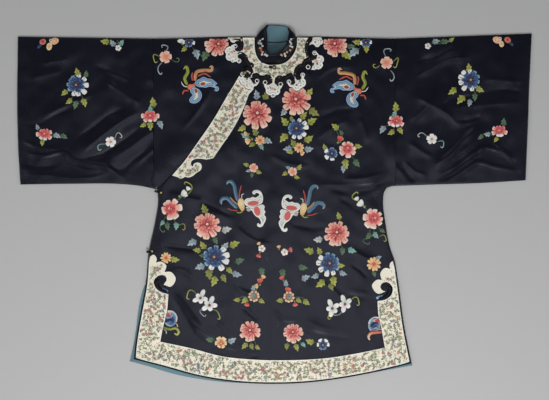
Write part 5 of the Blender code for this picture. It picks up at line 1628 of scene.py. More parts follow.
class Needlework:
    """Stitched shapes, drawn in plan and laid on the cloth as one piece."""

    def __init__(self, seed, relief):
        self.plan, self.lift, self.tint, self.lay, self.faces = [], [], [], [], []
        self.count = 0
        self.relief = relief
        self.random = np.random.default_rng(seed)

    def take(self, plan, lift, tint, lay, faces):
        self.plan.append(plan)
        self.lift.append(lift)
        self.tint.append(np.clip(tint, 0.0, 1.0))
        self.lay.append(lay)
        self.faces += [tuple(self.count + corner for corner in face) for face in faces]
        self.count += len(plan)

    def patch(self, rim, heart, stops, lift=0.0, dome=1.0, vary=0.08):
        """A domed shape whose stitches run out from its heart. Stops are its colours outwards."""
        rim, heart = anticlockwise(np.asarray(rim, float)), np.asarray(heart, float)
        centre, count = rim.mean(axis=0), len(rim)
        if centre[1] > top_edge(centre[0]) - FOLD_MARGIN:
            return
        plan = np.vstack([centre, *(centre + share * (rim - centre) for share in DOME_RINGS), rim, centre])
        rings = [np.full(count, height) for height in (*(dome * share for share in DOME_HEIGHTS), RIM_HEIGHT)]
        high = np.concatenate([[dome], *rings]) * self.relief + lift
        away = plan - heart
        reach = np.linalg.norm(away, axis=1)
        tint = shades(reach / max(reach.max(), 1e-9), stops) * (1.0 + vary * self.random.uniform(-1.0, 1.0))
        middle = centre - heart
        turn = math.atan2(middle[1], middle[0]) if np.linalg.norm(middle) > 1e-6 else 0.0
        angle = (np.arctan2(away[:, 1], away[:, 0]) - turn + math.pi) % (2 * math.pi) - math.pi
        lay = np.stack([angle * 0.62 * reach.max() * 1000.0, reach * 1000.0], axis=1)
        lay += self.random.uniform(0.0, 40.0, 2)
        faces = []
        for row in range(count):
            after = (row + 1) % count
            faces.append((0, 1 + row, 1 + after))
            for first in (1, 1 + count, 1 + 2 * count):
                faces.append((first + row, first + count + row, first + count + after, first + after))
            faces.append((1 + 3 * count + row, 1 + 4 * count, 1 + 3 * count + after))
        self.take(plan, np.concatenate([high, np.full(count + 1, -ROOT_DEPTH)]), tint, lay, faces)

    def ribbon(self, path, width, stops, lift=0.0, ends=(0.3, 0.15), dome=0.8, step=None):
        """A raised strip along a path, narrower at its ends."""
        path = spline(path, step or max(FINEST_STEP, 0.45 * width))
        count = len(path)
        if count < 3 or path[:, 1].mean() > top_edge(path[:, 0].mean()) - FOLD_MARGIN:
            return
        along = np.linspace(0.0, 1.0, count)
        body = np.minimum(1.0, np.minimum(ends[0] + 5.0 * along, ends[1] + 3.2 * (1.0 - along)))
        half = (0.5 * width * body)[:, None]
        side = left_of(unit(np.gradient(path, axis=0)))
        plan = np.stack([path + side * half, path, path - side * half, path], axis=1).reshape(-1, 2)
        high = lift + self.relief * np.tile([RIM_HEIGHT, dome, RIM_HEIGHT, 0.0], count)
        high[3::4] = -ROOT_DEPTH
        tint = shades(along, stops) * (1.0 + 0.06 * self.random.uniform(-1, 1))
        run = np.concatenate([[0.0], np.cumsum(np.linalg.norm(np.diff(path, axis=0), axis=1))]) * 1000.0
        across = half * 1000.0 * (-1.0, 0.0, 1.0, 0.0)
        faces = [(3, 2, 1, 0)]
        for first in range(0, 4 * count - 4, 4):
            for column in range(4):
                after = (column + 1) % 4
                faces.append((first + column, first + after, first + 4 + after, first + 4 + column))
        faces.append(tuple(range(4 * count - 4, 4 * count)))
        self.take(plan, high, np.repeat(tint, 4, axis=0),
                  np.stack([np.repeat(run, 4), across.ravel()], axis=1), faces)

    def filled(self, ring, bands, widths, heart, lift):
        """A shape filled with rows of colour that follow its edge."""
        plan, triangles = fill([ring], FINEST_STEP, inner_lines(ring, 0.0012))
        away = Near(dense(ring, 0.0004)).away(plan)
        bands = np.repeat(np.asarray(bands, float), 2, axis=0)
        ends = np.concatenate([[0.0], np.repeat(np.cumsum(widths), 2), [1.0]])
        ends[1:-1:2] -= BAND_SOFTNESS
        ends[2:-1:2] += BAND_SOFTNESS
        tint = shades(away, bands, ends[:len(bands)])
        high = lift + self.relief * (RIM_HEIGHT + (1.0 - RIM_HEIGHT) * smoothstep(away / 0.0028))
        lay = np.stack([np.arctan2(plan[:, 1] - heart[1], plan[:, 0] - heart[0]) * 18.0,
                        np.linalg.norm(plan - heart, axis=1) * 1000.0], axis=1)
        count = len(plan)
        edges, single = edges_of(triangles)
        directed = {pair for face in triangles for pair in zip(face, np.roll(face, -1))}
        sides = [(b, a) if (a, b) in directed else (a, b) for a, b in edges[single]]
        faces = [tuple(face) for face in triangles]
        faces += [tuple(count + corner for corner in face[::-1]) for face in triangles]
        faces += [(a, b, count + b, count + a) for a, b in sides]
        self.take(np.vstack([plan, plan]), np.concatenate([high, np.full(count, -ROOT_DEPTH)]),
                  np.vstack([tint, tint]), np.vstack([lay, lay]), faces)

    def make(self, name, surface, look="Silk embroidery", slot_name=None):
        """The finished piece."""
        plan = np.vstack(self.plan)
        plan[:, 1] = np.minimum(plan[:, 1], top_edge(plan[:, 0]) - 0.0012)
        points = np.column_stack([plan, surface.height(plan) + np.concatenate(self.lift)])
        item = add_piece(name, points, self.faces, look)
        dress(item.data, np.vstack(self.tint), np.vstack(self.lay))


def top_edge(x):
    """The height in plan of the fold along the shoulders and sleeves."""
    right, left = (
        SHOULDER_Y + (cuff[-1][1] - SHOULDER_Y) * np.clip((side * x - SEAM_X) / reach, 0.0, 1.0)
        for cuff, side, reach in ((RIGHT_CUFF, -1, 0.375), (LEFT_CUFF, 1, 0.3768)))
    return np.where(x < 0, right, left)


def polar(centre, reach, degrees):
    turn = np.radians(degrees)
    return np.stack([centre[0] + reach * np.cos(turn), centre[1] + reach * np.sin(turn)], axis=-1)


def petal(base, degrees, length, width, ruffle=0.10, count=13, waist=0.45):
    """The rim of a petal that grows from its base in a direction, widest near its ruffled tip."""
    turn = np.arange(count) * 2 * math.pi / count
    along = 0.5 * (1.0 - np.cos(turn))
    across = 0.5 * width * np.sin(turn) * (waist + (1.0 - waist) * along) * 1.12
    reach = length * (along - ruffle * along**3 * np.abs(np.sin(3.0 * across / width * math.pi)))
    out = heading(degrees)
    return np.asarray(base) + reach[:, None] * out + across[:, None] * left_of(out)


def disc(centre, radius, count=12):
    angles = np.arange(count) * 2 * math.pi / count
    return np.asarray(centre) + np.stack([radius * np.cos(angles), radius * np.sin(angles)], axis=1)


def oval(centre, wide, high, tilt):
    """The rim of an oval whose half axes are in millimetres."""
    angles = np.linspace(0, 2 * math.pi, 15)[:-1]
    return centre + turned(np.stack([wide * np.cos(angles), high * np.sin(angles)], axis=1) * MM, tilt)


def angle_between(first, second):
    return abs((first - second + 180.0) % 360.0 - 180.0)


def petal_rings(rose, small):
    """Rings of a full flower, from the outside in: petals, start, end and width as shares of its reach."""
    if rose:
        return ((8, 0.38, 1.00, 0.98), (7, 0.20, 0.66, 0.95), (5, 0.08, 0.44, 0.90), (4, 0.04, 0.25, 0.85))
    if small:
        return ((6, 0.46, 1.00, 0.94), (5, 0.28, 0.77, 0.90), (4, 0.14, 0.55, 0.86))
    return ((10, 0.46, 1.00, 0.94), (8, 0.28, 0.77, 0.90), (7, 0.14, 0.55, 0.86), (5, 0.08, 0.33, 0.80))


def petal_stops(kind, ring, away, side_on):
    """The colours of a petal from its base to its tip. Away is how far it turns from the pale side."""
    deep, dark, mid, light, pale = FLOWER_DYES[kind]
    if kind == "blue":
        return ([ICE * 0.7, WHITE, WHITE, WHITE] if away < 100 else [deep, mid, mid, light, pale],
                [deep, dark, mid, light], [deep, deep, dark, mid, light], [deep, dark, mid])[ring]
    if side_on and ring == 0:
        return ([pale * 0.8, pale * 0.9, pale] if away < 42 else
                [dark, mid, light, pale] if away < 118 else [deep, dark, mid, light])
    if kind == "rose":
        return ([dark, light, BLUSH, PALE, pale] if away < 125 else [dark, mid, light, PALE, PALE],
                [deep, dark, dark, mid, light], [deep, deep, dark, mid], [deep, dark, mid, light])[ring]
    strong = np.array(([dark, dark, mid, light, light, pale], [deep, deep, dark, mid, light, pale],
                       [deep, deep, deep, dark, mid, light], [deep, deep, deep, dark, dark, light])[ring])
    faint = np.array(([dark, mid, light, light, pale, pale], [deep, deep, dark, mid, light, pale],
                      [deep, deep, dark, dark, mid, pale], [deep, deep, deep, dark, mid, pale])[ring])
    return strong + (faint - strong) * float(np.clip(1.25 - away / 95.0, 0.0, 1.0))


def peony(work, kind, centre, size, turn, lean):
    """A full flower of several rings of petals, with longer, paler ones towards one side."""
    deep, _, mid, _, _ = FLOWER_DYES[kind]
    blue, rose, small = kind == "blue", kind == "rose", size < 0.045
    side_on = rose and lean == -90
    radius = 0.5 * size
    shift = (0.15 if not rose else 0.30 if size > 0.055 else 0.22) * radius
    heart = polar(centre, -shift, lean)

    def reach(degrees):
        side = math.radians(degrees - lean)
        full = shift * math.cos(side) + math.sqrt(radius**2 - (shift * math.sin(side))**2)
        return full * (1.0 - 0.34 * abs(math.cos(side))) if side_on else full

    under = [polar(heart, 0.72 * reach(degrees), degrees) for degrees in np.arange(0, 360, 15)]
    work.patch(under, heart, [deep, deep, deep * 0.8], 0.0, 0.35)
    for ring, (count, start, end, wide) in enumerate(petal_rings(rose, small)):
        for row in range(count):
            degrees = turn + 22 * ring + 360.0 * row / count + work.random.uniform(-7, 7)
            away = angle_between(degrees, lean)
            full = reach(degrees)
            base = polar(heart, start * full, degrees)
            length = (end * work.random.uniform(0.92, 1.03) - start) * full
            outer_blue = blue and ring == 0
            width = 2 * math.pi / count * (0.35 * start + 0.65 * end) * full * (0.86 if outer_blue else wide)
            if outer_blue:
                length *= 1.06 if away < 100 else 0.90
            elif side_on and ring == 0:
                length *= 0.86 if away < 42 else 1.04
            lift = 0.00005 + 0.00009 * ring + 0.00003 * (row % 2)
            work.patch(petal(base, degrees, length, width, 0.09, 15), base,
                       petal_stops(kind, ring, away, side_on), lift, 0.9)
            if not small and not rose and ring < 2 and (row + ring) % 3:
                cleft = [polar(heart, (start + share * (end - start)) * full, degrees + 3)
                         for share in (0.32, 0.55, 0.78)]
                work.ribbon(cleft, 0.0023, [deep, mid if blue else deep], lift + 0.00034, (1.0, 0.1), 0.4)
    core = dye(214, 150, 90) if blue else PALE
    work.patch(disc(heart, (0.13 if small else 0.10) * radius, 9), heart, [core, core * 0.85], 0.00042, 0.7)


# Flowers with one ring: petals, their width, their colours, the heart's colour, ruffle.
PLAIN_FLOWERS = {
    "plum": (5, 0.92, [dye(214, 206, 186), WHITE, WHITE], dye(206, 120, 60), 0.10),
    "peach": (5, 0.95, [dye(214, 96, 84), dye(238, 168, 142), PALE], dye(226, 170, 90), 0.12),
    "daisy": (10, 0.46, [dye(206, 96, 62), dye(236, 180, 124), CREAM], dye(200, 96, 62), 0.04),
    "orchid": (5, 0.52, [dye(150, 160, 156), dye(214, 220, 212), WHITE, WHITE], dye(140, 40, 44), 0.0),
}
ORCHID_LENGTHS = (1.06, 0.62, 0.92, 0.60, 0.84)


def plain_flower(work, kind, centre, size, turn):
    """A small flower with one ring of petals."""
    radius, orchid = 0.5 * size, kind == "orchid"
    count, wide, stops, core, ruffle = PLAIN_FLOWERS[kind]
    for row in range(count):
        degrees = turn + 360.0 * row / count + work.random.uniform(-4, 4)
        length = radius * (ORCHID_LENGTHS[row] if orchid else 0.94)
        base = polar(centre, 0.06 * radius, degrees)
        work.patch(petal(base, degrees, length, wide * radius, ruffle, 11, 0.85 if orchid else 0.4),
                   centre, stops, 0.00004 * (row % 2), 0.9)
    work.patch(disc(centre, (0.24 if kind == "daisy" else 0.17) * radius, 8), centre,
               [core, core * 0.8], 0.00022, 0.8)
    if kind in ("plum", "peach"):
        for row in range(5):
            near, tip = (polar(centre, share * radius, turn + 36 + 72 * row) for share in (0.16, 0.42))
            work.ribbon([near, 0.5 * (tip + centre), tip], 0.0008, [core, core], 0.00020, (1, 1), 0.5)


def fruit(work, centre, size, lean):
    """A cut fruit: a pale rim of rounded shapes round a green and blue heart."""
    radius = 0.5 * size
    work.patch(disc(centre, 0.86 * radius, 18), centre, [dye(60, 70, 66), dye(150, 110, 80)], 0.0, 0.4)
    for row in range(9):
        degrees = lean + 40 * row + work.random.uniform(-5, 5)
        base = polar(centre, 0.52 * radius, degrees)
        work.patch(petal(base, degrees, 0.50 * radius, 0.56 * radius, 0.0, 11), base,
                   [dye(214, 140, 96), dye(236, 190, 150), PALE], 0.00010 + 0.00003 * (row % 2), 0.8)
    heart = polar(centre, 0.10 * radius, lean)
    work.patch(disc(heart, 0.40 * radius, 12), heart, [dye(70, 120, 112), dye(146, 184, 176)], 0.00030, 0.7)
    for row in range(3):
        tip = polar(heart, 0.50 * radius, lean + 100 + 50 * row)
        work.ribbon([heart, 0.5 * (heart + tip) + 0.0004, tip], 0.0010, [SOOT, WINE], 0.00062,
                    (0.6, 0.6), 0.5)


# A leaf's edge: shares of its length along the midrib and half widths there.
LEAF_ALONG = np.array([0.0, 0.12, 0.26, 0.35, 0.41, 0.56, 0.65, 0.71, 0.88, 1.0])
LEAF_WIDE = np.array([0.0, 0.15, 0.33, 0.35, 0.20, 0.28, 0.27, 0.14, 0.08, 0.0])


def leaf(work, middle, degrees, length, dyes):
    """A leaf of two halves beside its midrib."""
    dark, mid, light = dyes
    out = heading(degrees)
    side = left_of(out)
    base = middle - 0.5 * length * out
    curve = 0.07 * np.sin(math.pi * LEAF_ALONG) * (1 if work.random.random() > 0.5 else -1)
    ribs = base + length * (LEAF_ALONG[:, None] * out + curve[:, None] * side)
    for way, stops in ((1.0, [dark, mid, light]), (-1.0, [dark, mid, mid * 0.92])):
        stretch = work.random.uniform(0.88, 1.05)
        edge = ribs[1:-1] + way * stretch * length * LEAF_WIDE[1:-1, None] * side
        work.patch(np.vstack([ribs[:1], edge, ribs[-1:], ribs[7:0:-2]]), base, stops, 0.0, 0.8)
    work.ribbon(ribs[[0, 3, 6, 8]], 0.0008 + 0.012 * length, [dark * 0.75, dark], 0.00018, (1.0, 0.3), 0.6)


def scallops(work, ring, stops, size=0.0046, lift=0.00062, spots=None):
    """Rows of short petals along a wing's edge, or only along the part of it near some spots."""
    places = spline(offset(ring, 0.0006, closed=True), size, closed=True)
    outward = -left_of(unit(np.roll(places, -1, axis=0) - np.roll(places, 1, axis=0)))
    rim = Near(dense(ring, 0.0006))
    for depth, length in ((1.09 * size, 1.09 * size), (2.04 * size, 1.04 * size)):
        bases = places - outward * depth
        good = inside(bases, [ring]) & (rim.away(bases) > 0.82 * depth)
        if spots is not None:
            good &= np.min([np.hypot(bases[:, 0] - x * MM, bases[:, 1] - y * MM) - radius * MM
                            for x, y, radius in spots], axis=0) < 0
        for base, way in zip(bases[good], outward[good]):
            work.patch(petal(base, bearing(way), length, size, 0.0, 9), base, stops,
                       lift - 0.006 * (depth - 1.09 * size), 0.5, 0.04)


def wing_tail(work, rows, width, dyes):
    """A streamer of a wing. A broad one has short leaves on both sides and a rib."""
    dark, mid, light = dyes
    work.ribbon(rows, 1.15 * width, [mid, mid, mid, light], 0.0, (0.55, 0.16), 0.9, 0.0016)
    if width <= 0.007:
        return
    line = spline(rows, 0.004)
    for point, after in zip(line[1:-2], line[2:-1]):
        along = (after - point) / np.linalg.norm(after - point)
        for hand in (-1.0, 1.0):
            tip = point + hand * left_of(along) * 0.42 * width + along * 0.0016
            work.patch(petal(point, bearing(tip - point), 0.40 * width, 0.0026, 0.0, 7), point,
                       [dark, light if hand > 0 else mid], 0.00040, 0.4)
    work.ribbon(line[:-1:2], 0.0011, [dark, dark], 0.00056, (0.6, 0.3), 0.4)


def butterfly(work, kind, x, y, way, turn):
    """A butterfly whose wings open towards one side."""
    shape = BUTTERFLY_KINDS[kind]
    centre = np.array([x, y]) * MM

    def placed(rows):
        return centre + turned(np.asarray(rows, float) * MM * np.array([way, 1.0]), turn)

    for path, width, name in shape["tails"]:
        wing_tail(work, placed(path), width * MM, TAIL_DYES[name])
    for name in ("upper", "lower"):
        ring = anticlockwise(spline(placed(shape[name]), 0.0016, closed=True))
        work.filled(ring, shape["bands"], (0.0022, 0.0016, 0.0020, 1.0), centre, 0.00004)
        scallops(work, ring, shape["scallop"])
    for place, wide, high, tilt in shape["spots"]:
        middle = placed([place])[0]
        rim = oval(middle, wide, high, tilt * way)
        red = CORAL if kind == "waist" else dye(150, 60, 44)
        work.patch(rim, middle, [red, red, red * 1.15], 0.00085, 0.6)
        edge = np.vstack([rim, rim[:1]])
        work.ribbon(edge + (edge - middle) * 0.08, 0.0014, [WHITE, WHITE], 0.00090, (1, 1), 0.5, 0.003)
    work.patch(spline(placed(shape["body"]), 0.003, closed=True), centre, shape["body_dye"][::-1],
               0.00052, 1.3)
    if shape["eye"]:
        middle = placed([shape["eye"]])[0]
        for radius, ink, lift in ((0.0058, WHITE, 0.00060), (0.0044, SOOT, 0.00068),
                                  (0.0028, WHITE, 0.00076), (0.0014, SOOT, 0.00084)):
            work.patch(disc(middle, radius), middle, [ink, ink], lift, 0.3, 0.0)


def region_of(x, y):
    """The part of the jacket that a motif lies on."""
    if abs(x) > SEAM_X / MM - 24:
        return "sleeve_right" if x < 0 else "sleeve_left"
    return "chest" if y > 60 else "waist" if y > -235 else "skirt"


def tendril(work, points, key, width):
    """A curved stem through a bend, whose end curls on the way that it bends."""
    start, bend, end = points
    pull = 2.0 * bend - 0.5 * (start + end)
    share = np.linspace(0.0, 1.0, 9)[:, None]
    path = (1 - share)**2 * start + 2 * share * (1 - share) * pull + share**2 * end
    curl = bearing(path[-1] - path[-2])
    inward = np.sign(np.cross(np.append(bend - start, 0), np.append(end - bend, 0))[2])
    for reach in (0.0030, 0.0026, 0.0022, 0.0018):
        curl += 42 * inward
        path = np.vstack([path, polar(path[-1], reach, curl)])
    work.ribbon(path, width * 0.72, LEAF_DYES[key], 0.0, (0.4, 0.35))


def stemmed_leaf(work, x, y, length, key, flowers):
    """A leaf that points away from the nearest flower, with a stem where that one is near."""
    gaps = np.linalg.norm(flowers - (x, y), axis=1)
    nearest = flowers[gaps.argmin()]
    degrees = bearing((x, y) - nearest) + work.random.uniform(-28, 28)
    middle = np.array([x, y]) * MM
    if gaps.min() < 54:
        start = polar(middle, -0.4 * length * MM, degrees)
        root = middle + (nearest * MM - middle) * 0.55
        bend = 0.5 * (start + root) + np.array([0.003, -0.002]) * work.random.uniform(-1, 1)
        work.ribbon([root, bend, start], 0.0012, [LEAF_DYES["g"][0], LEAF_DYES["o"][1]], 0.0, (1.0, 1.0), 0.5)
    leaf(work, middle, degrees, length * MM * 1.08, LEAF_DYES[key])


def bud(work, base, length, key, degrees):
    """Three petals that stay closed in a green cup."""
    for lean in (-26, 26, 0):
        work.patch(petal(base, degrees + lean, length * 0.92, length * 0.5, 0.05, 11), base,
                   BUD_DYES[key], 0.00006 * (lean == 0), 0.9)
    work.patch(petal(base, degrees + 180, 0.35 * length, 0.4 * length, 0.0, 8), base,
               LEAF_DYES["y"][:2], 0.0001, 0.8)


class JACKET_OT_needlework(bpy.types.Operator):
    """Embroiders the flowers, leaves, buds, tendrils and butterflies on the satin"""
    bl_idname = "jacket.needlework"
    bl_label = "Silk embroidery"

    def execute(self, context):
        sizes = context.scene.jacket_needlework
        works = {name: Needlework(sizes.seed + row, sizes.relief) for row, name in enumerate(
            ("sleeve_right", "sleeve_left", "chest", "waist", "skirt"))}
        flowers = np.array([row[1:3] for row in FLOWERS if row[0] != "orchid"], float)
        for *points, key, width in TENDRILS:
            tendril(works[region_of(*points[:2])], np.reshape(points, (3, 2)) * MM, key, width * MM)
        for x, y, length, key in LEAVES:
            stemmed_leaf(works[region_of(x, y)], x, y, length, key, flowers)
        for x, y, length, key, degrees in BUDS:
            base = polar(np.array([x, y]) * MM, -0.4 * length * MM, degrees)
            bud(works[region_of(x, y)], base, length * MM, key, degrees)
        for kind, x, y, size, turn, lean in FLOWERS:
            work, centre = works[region_of(x, y)], np.array([x, y]) * MM
            if kind in FLOWER_DYES:
                peony(work, kind, centre, size * MM, turn, lean)
            elif kind == "fruit":
                fruit(work, centre, size * MM, lean)
            else:
                plain_flower(work, kind, centre, size * MM, turn)
        for kind, x, y, way, turn in BUTTERFLIES:
            butterfly(works[region_of(x, y)], kind, x, y, way, turn)
        for x, y, wide, high, tilt, inks, layer in EDGE_SHAPES:
            middle = np.array([x, y]) * MM
            works[region_of(x, y)].patch(oval(middle, 0.5 * wide, 0.5 * high, tilt), middle, inks,
                                         layer * 0.0002, 0.8)
        for rows, lift in ((EDGE_TAILS, 0.0004), (EDGE_STREAKS, 0.0021)):
            for path, width, inks in rows:
                works[region_of(*path[0])].ribbon(np.array(path) * MM, width * MM, inks, lift, (0.6, 0.4))
        for name, work in works.items():
            work.make(f"needlework_{name}", surface_with())
        return {"FINISHED"}


# ---------------------------------------------------------------- border design

# A small general floral design lies on the cream borders. Its shapes: kind, inner and outer dye.
SPRAY_SHAPES = (
    ("leaf", dye(98, 122, 84), dye(148, 166, 124)), ("leaf", dye(118, 134, 112), dye(166, 176, 150)),
    ("leaf", dye(132, 132, 82), dye(176, 172, 118)), ("leaf", dye(84, 118, 108), dye(136, 162, 146)),
    ("leaf", dye(104, 106, 116), dye(150, 152, 156)), ("tuft", dye(84, 104, 76), dye(134, 150, 112)),
    ("bloom", dye(204, 92, 104), dye(226, 156, 156)), ("bloom", dye(88, 98, 150), dye(142, 150, 190)),
    ("bloom", dye(140, 126, 168), dye(190, 180, 206)), ("bloom", dye(214, 140, 104), dye(234, 192, 160)),
    ("bud", dye(60, 60, 62), dye(92, 92, 92)), ("bud", dye(186, 62, 74), dye(214, 104, 108)),
    ("tuft", dye(170, 180, 140), dye(196, 200, 168)), ("leaf", dye(214, 184, 160), dye(226, 204, 182)),
    ("leaf", dye(176, 188, 152), dye(198, 206, 176)),
)
# Rows of these shapes: a sprig's leaves, blossoms and buds, the pale ones and the small ones between.
LEAF_KINDS, BLOOM_KINDS, BUD_KINDS = (0, 1, 2, 3, 4), (6, 6, 7, 8, 9, 6), (10, 11, 10)
PALE_KINDS, SMALL_KINDS = (12, 13, 14), (0, 1, 3, 4, 5, 5, 10, 11)
# A leaflet's edge, along it and to its side.
LEAFLET_ALONG, LEAFLET_SIDE = (0.0, 0.30, 0.66, 1.0, 0.66, 0.30), (0.0, -0.17, -0.15, 0.0, 0.17, 0.20)
STEM_DYES = (dye(96, 110, 84), dye(128, 124, 100), dye(110, 104, 92), dye(92, 116, 112))

# The spacing of the pale shapes and of the small ones, and how far each kind stays from an edge.
PALE_SPACING, PALE_ROOM, SMALL_SPACING, SMALL_ROOM, SPRIG_ROOM = 0.0098, 0.0030, 0.0066, 0.0020, 0.0040

# Parts of the vent borders' cloud heads that stay plain: x, y and radius in millimetres.
PLAIN_SPOTS = ((-339, -155, 13), (-290, -208, 20), (285, -227, 20), (309, -192, 14))

# The lobes of the cloud collar, worked in white: x, y and radius in millimetres.
LOBES = (
    (-117, 421, 25), (-76, 340, 23), (-6, 320, 22), (66, 335, 23), (115, 396, 26), (122, 453, 18),
    (-128, 458, 18),
)


def chip(rim, height, inner, outer):
    """A small domed shape on a root at the origin: its points, faces, tints and stitch directions."""
    count, middle = len(rim), np.mean(rim, axis=0)
    points = np.vstack([np.column_stack([rim, np.full(count, 0.16 * height)]),
                        [[*middle, height]], [[*middle, -0.0004]]])
    reach = np.linalg.norm(points[:, :2], axis=1)
    share = np.clip(reach / max(reach.max(), 1e-9), 0.0, 1.0)[:, None]
    faces = [(row, (row + 1) % count, count) for row in range(count)]
    faces += [((row + 1) % count, row, count + 1) for row in range(count)]
    turn = np.arctan2(points[:, 1], points[:, 0])
    lay = np.stack([turn * reach.max() * 620.0, reach * 1000.0], axis=1)
    return points, faces, inner + (outer - inner) * share, lay


def spray_shape(name, kind, inner, outer):
    """One shape of the border design, a millimetre to a unit of its scale."""
    root = np.zeros(2)
    if kind == "leaf":
        rims = [(np.stack([LEAFLET_ALONG, LEAFLET_SIDE], axis=1) * MM, 0.00009)]
    elif kind == "tuft":
        rims = [(petal(root, degrees, 0.001 * length, 0.00022, 0.0, 5), 0.00007)
                for degrees, length in ((-58, 0.8), (-30, 1.1), (-6, 1.3), (24, 1.05), (52, 0.85))]
    elif kind == "bloom":
        rims = [(petal(root, 72 * row, 0.00052, 0.00056, 0.0, 7), 0.00010) for row in range(5)]
    else:
        rims = [(disc(root, 0.0005, 7), 0.00014)]
    chips = [chip(rim, height, inner, outer) for rim, height in rims]
    if kind == "bloom":
        chips.append(chip(disc(root, 0.00014, 6), 0.00018, OCHRE, OCHRE))
    points, faces = [], []
    for made, joined, _, _ in chips:
        faces += [tuple(len(points) + corner for corner in face) for face in joined]
        points += [tuple(point) for point in made]
    data = bpy.data.meshes.new(name)
    data.from_pydata(points, [], faces)
    dress(data, *(np.vstack([made[part] for made in chips]) for part in (2, 3)))
    return bpy.data.objects.new(name, data)


def spray_tree():
    """A small shape at every point, picked, turned and sized by the point's attributes."""
    tree, given, result = new_tree("Sprays on a border", "GeometryNodeTree", {
        "Geometry": ("Geometry",), "Shapes": ("Collection",), "Material": ("Material",)},
        {"Geometry": ("Geometry",)})
    shapes = put(tree, "GeometryNodeCollectionInfo", {
        "Collection": given["Shapes"], "Separate Children": True}).outputs[0]
    kind, turn, size = (
        put(tree, "GeometryNodeInputNamedAttribute", {"Name": name}, data_type=what).outputs[0]
        for name, what in (("kind", "INT"), ("turn", "FLOAT_VECTOR"), ("size", "FLOAT")))
    rows = put(tree, "GeometryNodeInstanceOnPoints", {
        "Points": given["Geometry"], "Instance": shapes, "Pick Instance": True, "Instance Index": kind,
        "Rotation": put(tree, "FunctionNodeEulerToRotation", {"Euler": turn}).outputs[0],
        "Scale": size}).outputs[0]
    return finish_tree(tree, rows, given, result)


class Sprays:
    """The border design of one border: its small shapes and its stems."""

    def __init__(self, rings, surface, seed, relief):
        self.rings, self.surface = rings, surface
        self.edge = Near(np.vstack([dense(ring) for ring in rings]))
        self.random = np.random.default_rng(seed)
        self.rows = []
        self.stems = Needlework(seed, relief)

    def fits(self, places, room):
        """Which places lie on the border, clear of its edge and of its plain parts."""
        places = np.atleast_2d(places)
        good = inside(places, self.rings) & (self.edge.away(places) > room)
        for x, y, radius in (*PLAIN_SPOTS, *LOBES):
            good &= np.hypot(places[:, 0] - x * MM, places[:, 1] - y * MM) > radius * MM
        return good

    def spots(self, spacing, room):
        """Uneven rows of places over the border."""
        rim = np.vstack(self.rings)
        low, high = rim.min(axis=0), rim.max(axis=0)
        across, along = np.meshgrid(
            np.arange(low[0], high[0], spacing), np.arange(low[1], high[1], 0.87 * spacing))
        across = across + 0.5 * spacing * (np.arange(len(across))[:, None] % 2)
        places = np.stack([across.ravel(), along.ravel()], axis=1)
        places = places + self.random.uniform(-0.32, 0.32, places.shape) * spacing
        return places[self.fits(places, room)]

    def add(self, place, kind, degrees, size, room=0.0016):
        if self.fits(place, room + 0.0003 * size)[0]:
            self.rows.append((*place, kind, degrees, size))

    def one_of(self, kinds):
        return kinds[self.random.integers(len(kinds))]

    def sprig(self, place):
        """A bent stem with leaves on both sides and a blossom at its end."""
        random = self.random
        degrees, length = random.uniform(0, 360), random.uniform(0.010, 0.018)
        bend = random.uniform(-50, 50)
        path = [polar(place, -0.5 * length, degrees)]
        for part in range(5):
            path.append(polar(path[-1], 0.2 * length, degrees + bend * (part - 2) / 2))
        path = np.array(path)
        path = path[self.fits(path, 0.0014)]
        if len(path) < 3:
            return
        stem = self.one_of(STEM_DYES)
        self.stems.ribbon(path, 0.0007, [stem, stem * 1.2], 0.00005, (1.0, 0.6), 0.5, 0.0022)
        kind = self.one_of(LEAF_KINDS)
        for row, point in enumerate(path[:-1]):
            for hand in (-1, 1):
                if random.random() < 0.86:
                    self.add(point, kind if random.random() < 0.8 else int(random.integers(5)),
                             degrees + bend * (row - 2) / 2 + hand * random.uniform(32, 66),
                             random.uniform(3.6, 7.0))
        if random.random() < 0.42:
            self.add(path[-1], self.one_of(BLOOM_KINDS), random.uniform(0, 72), random.uniform(5.6, 9.6),
                     0.0022)
        else:
            self.add(path[-1], self.one_of(BUD_KINDS), 0.0, random.uniform(1.8, 2.8))

    def make(self, name, kinds, tree):
        """The finished pieces: the small shapes and the stems below them."""
        rows = np.array(self.rows, float)
        heights = self.surface.height(rows[:, :2]) + 0.00012
        data = bpy.data.meshes.new(f"{name}_points")
        data.from_pydata(np.column_stack([rows[:, :2], heights]).tolist(), [], [])
        turn = np.zeros((len(rows), 3), np.float32)
        turn[:, 2] = np.radians(rows[:, 3])
        for key, kind, field, values in (
            ("kind", "INT", "value", rows[:, 2].astype(np.int32)),
            ("turn", "FLOAT_VECTOR", "vector", turn.ravel()),
            ("size", "FLOAT", "value", rows[:, 4].astype(np.float32)),
        ):
            data.attributes.new(key, kind, "POINT").data.foreach_set(field, values)
        grow_on(data, name, tree, {"Shapes": kinds, "Material": LOOKS["Silk embroidery"]})
        if self.stems.faces:
            self.stems.make(name.replace("sprays", "stems"), self.surface, slot_name="cream_silk")


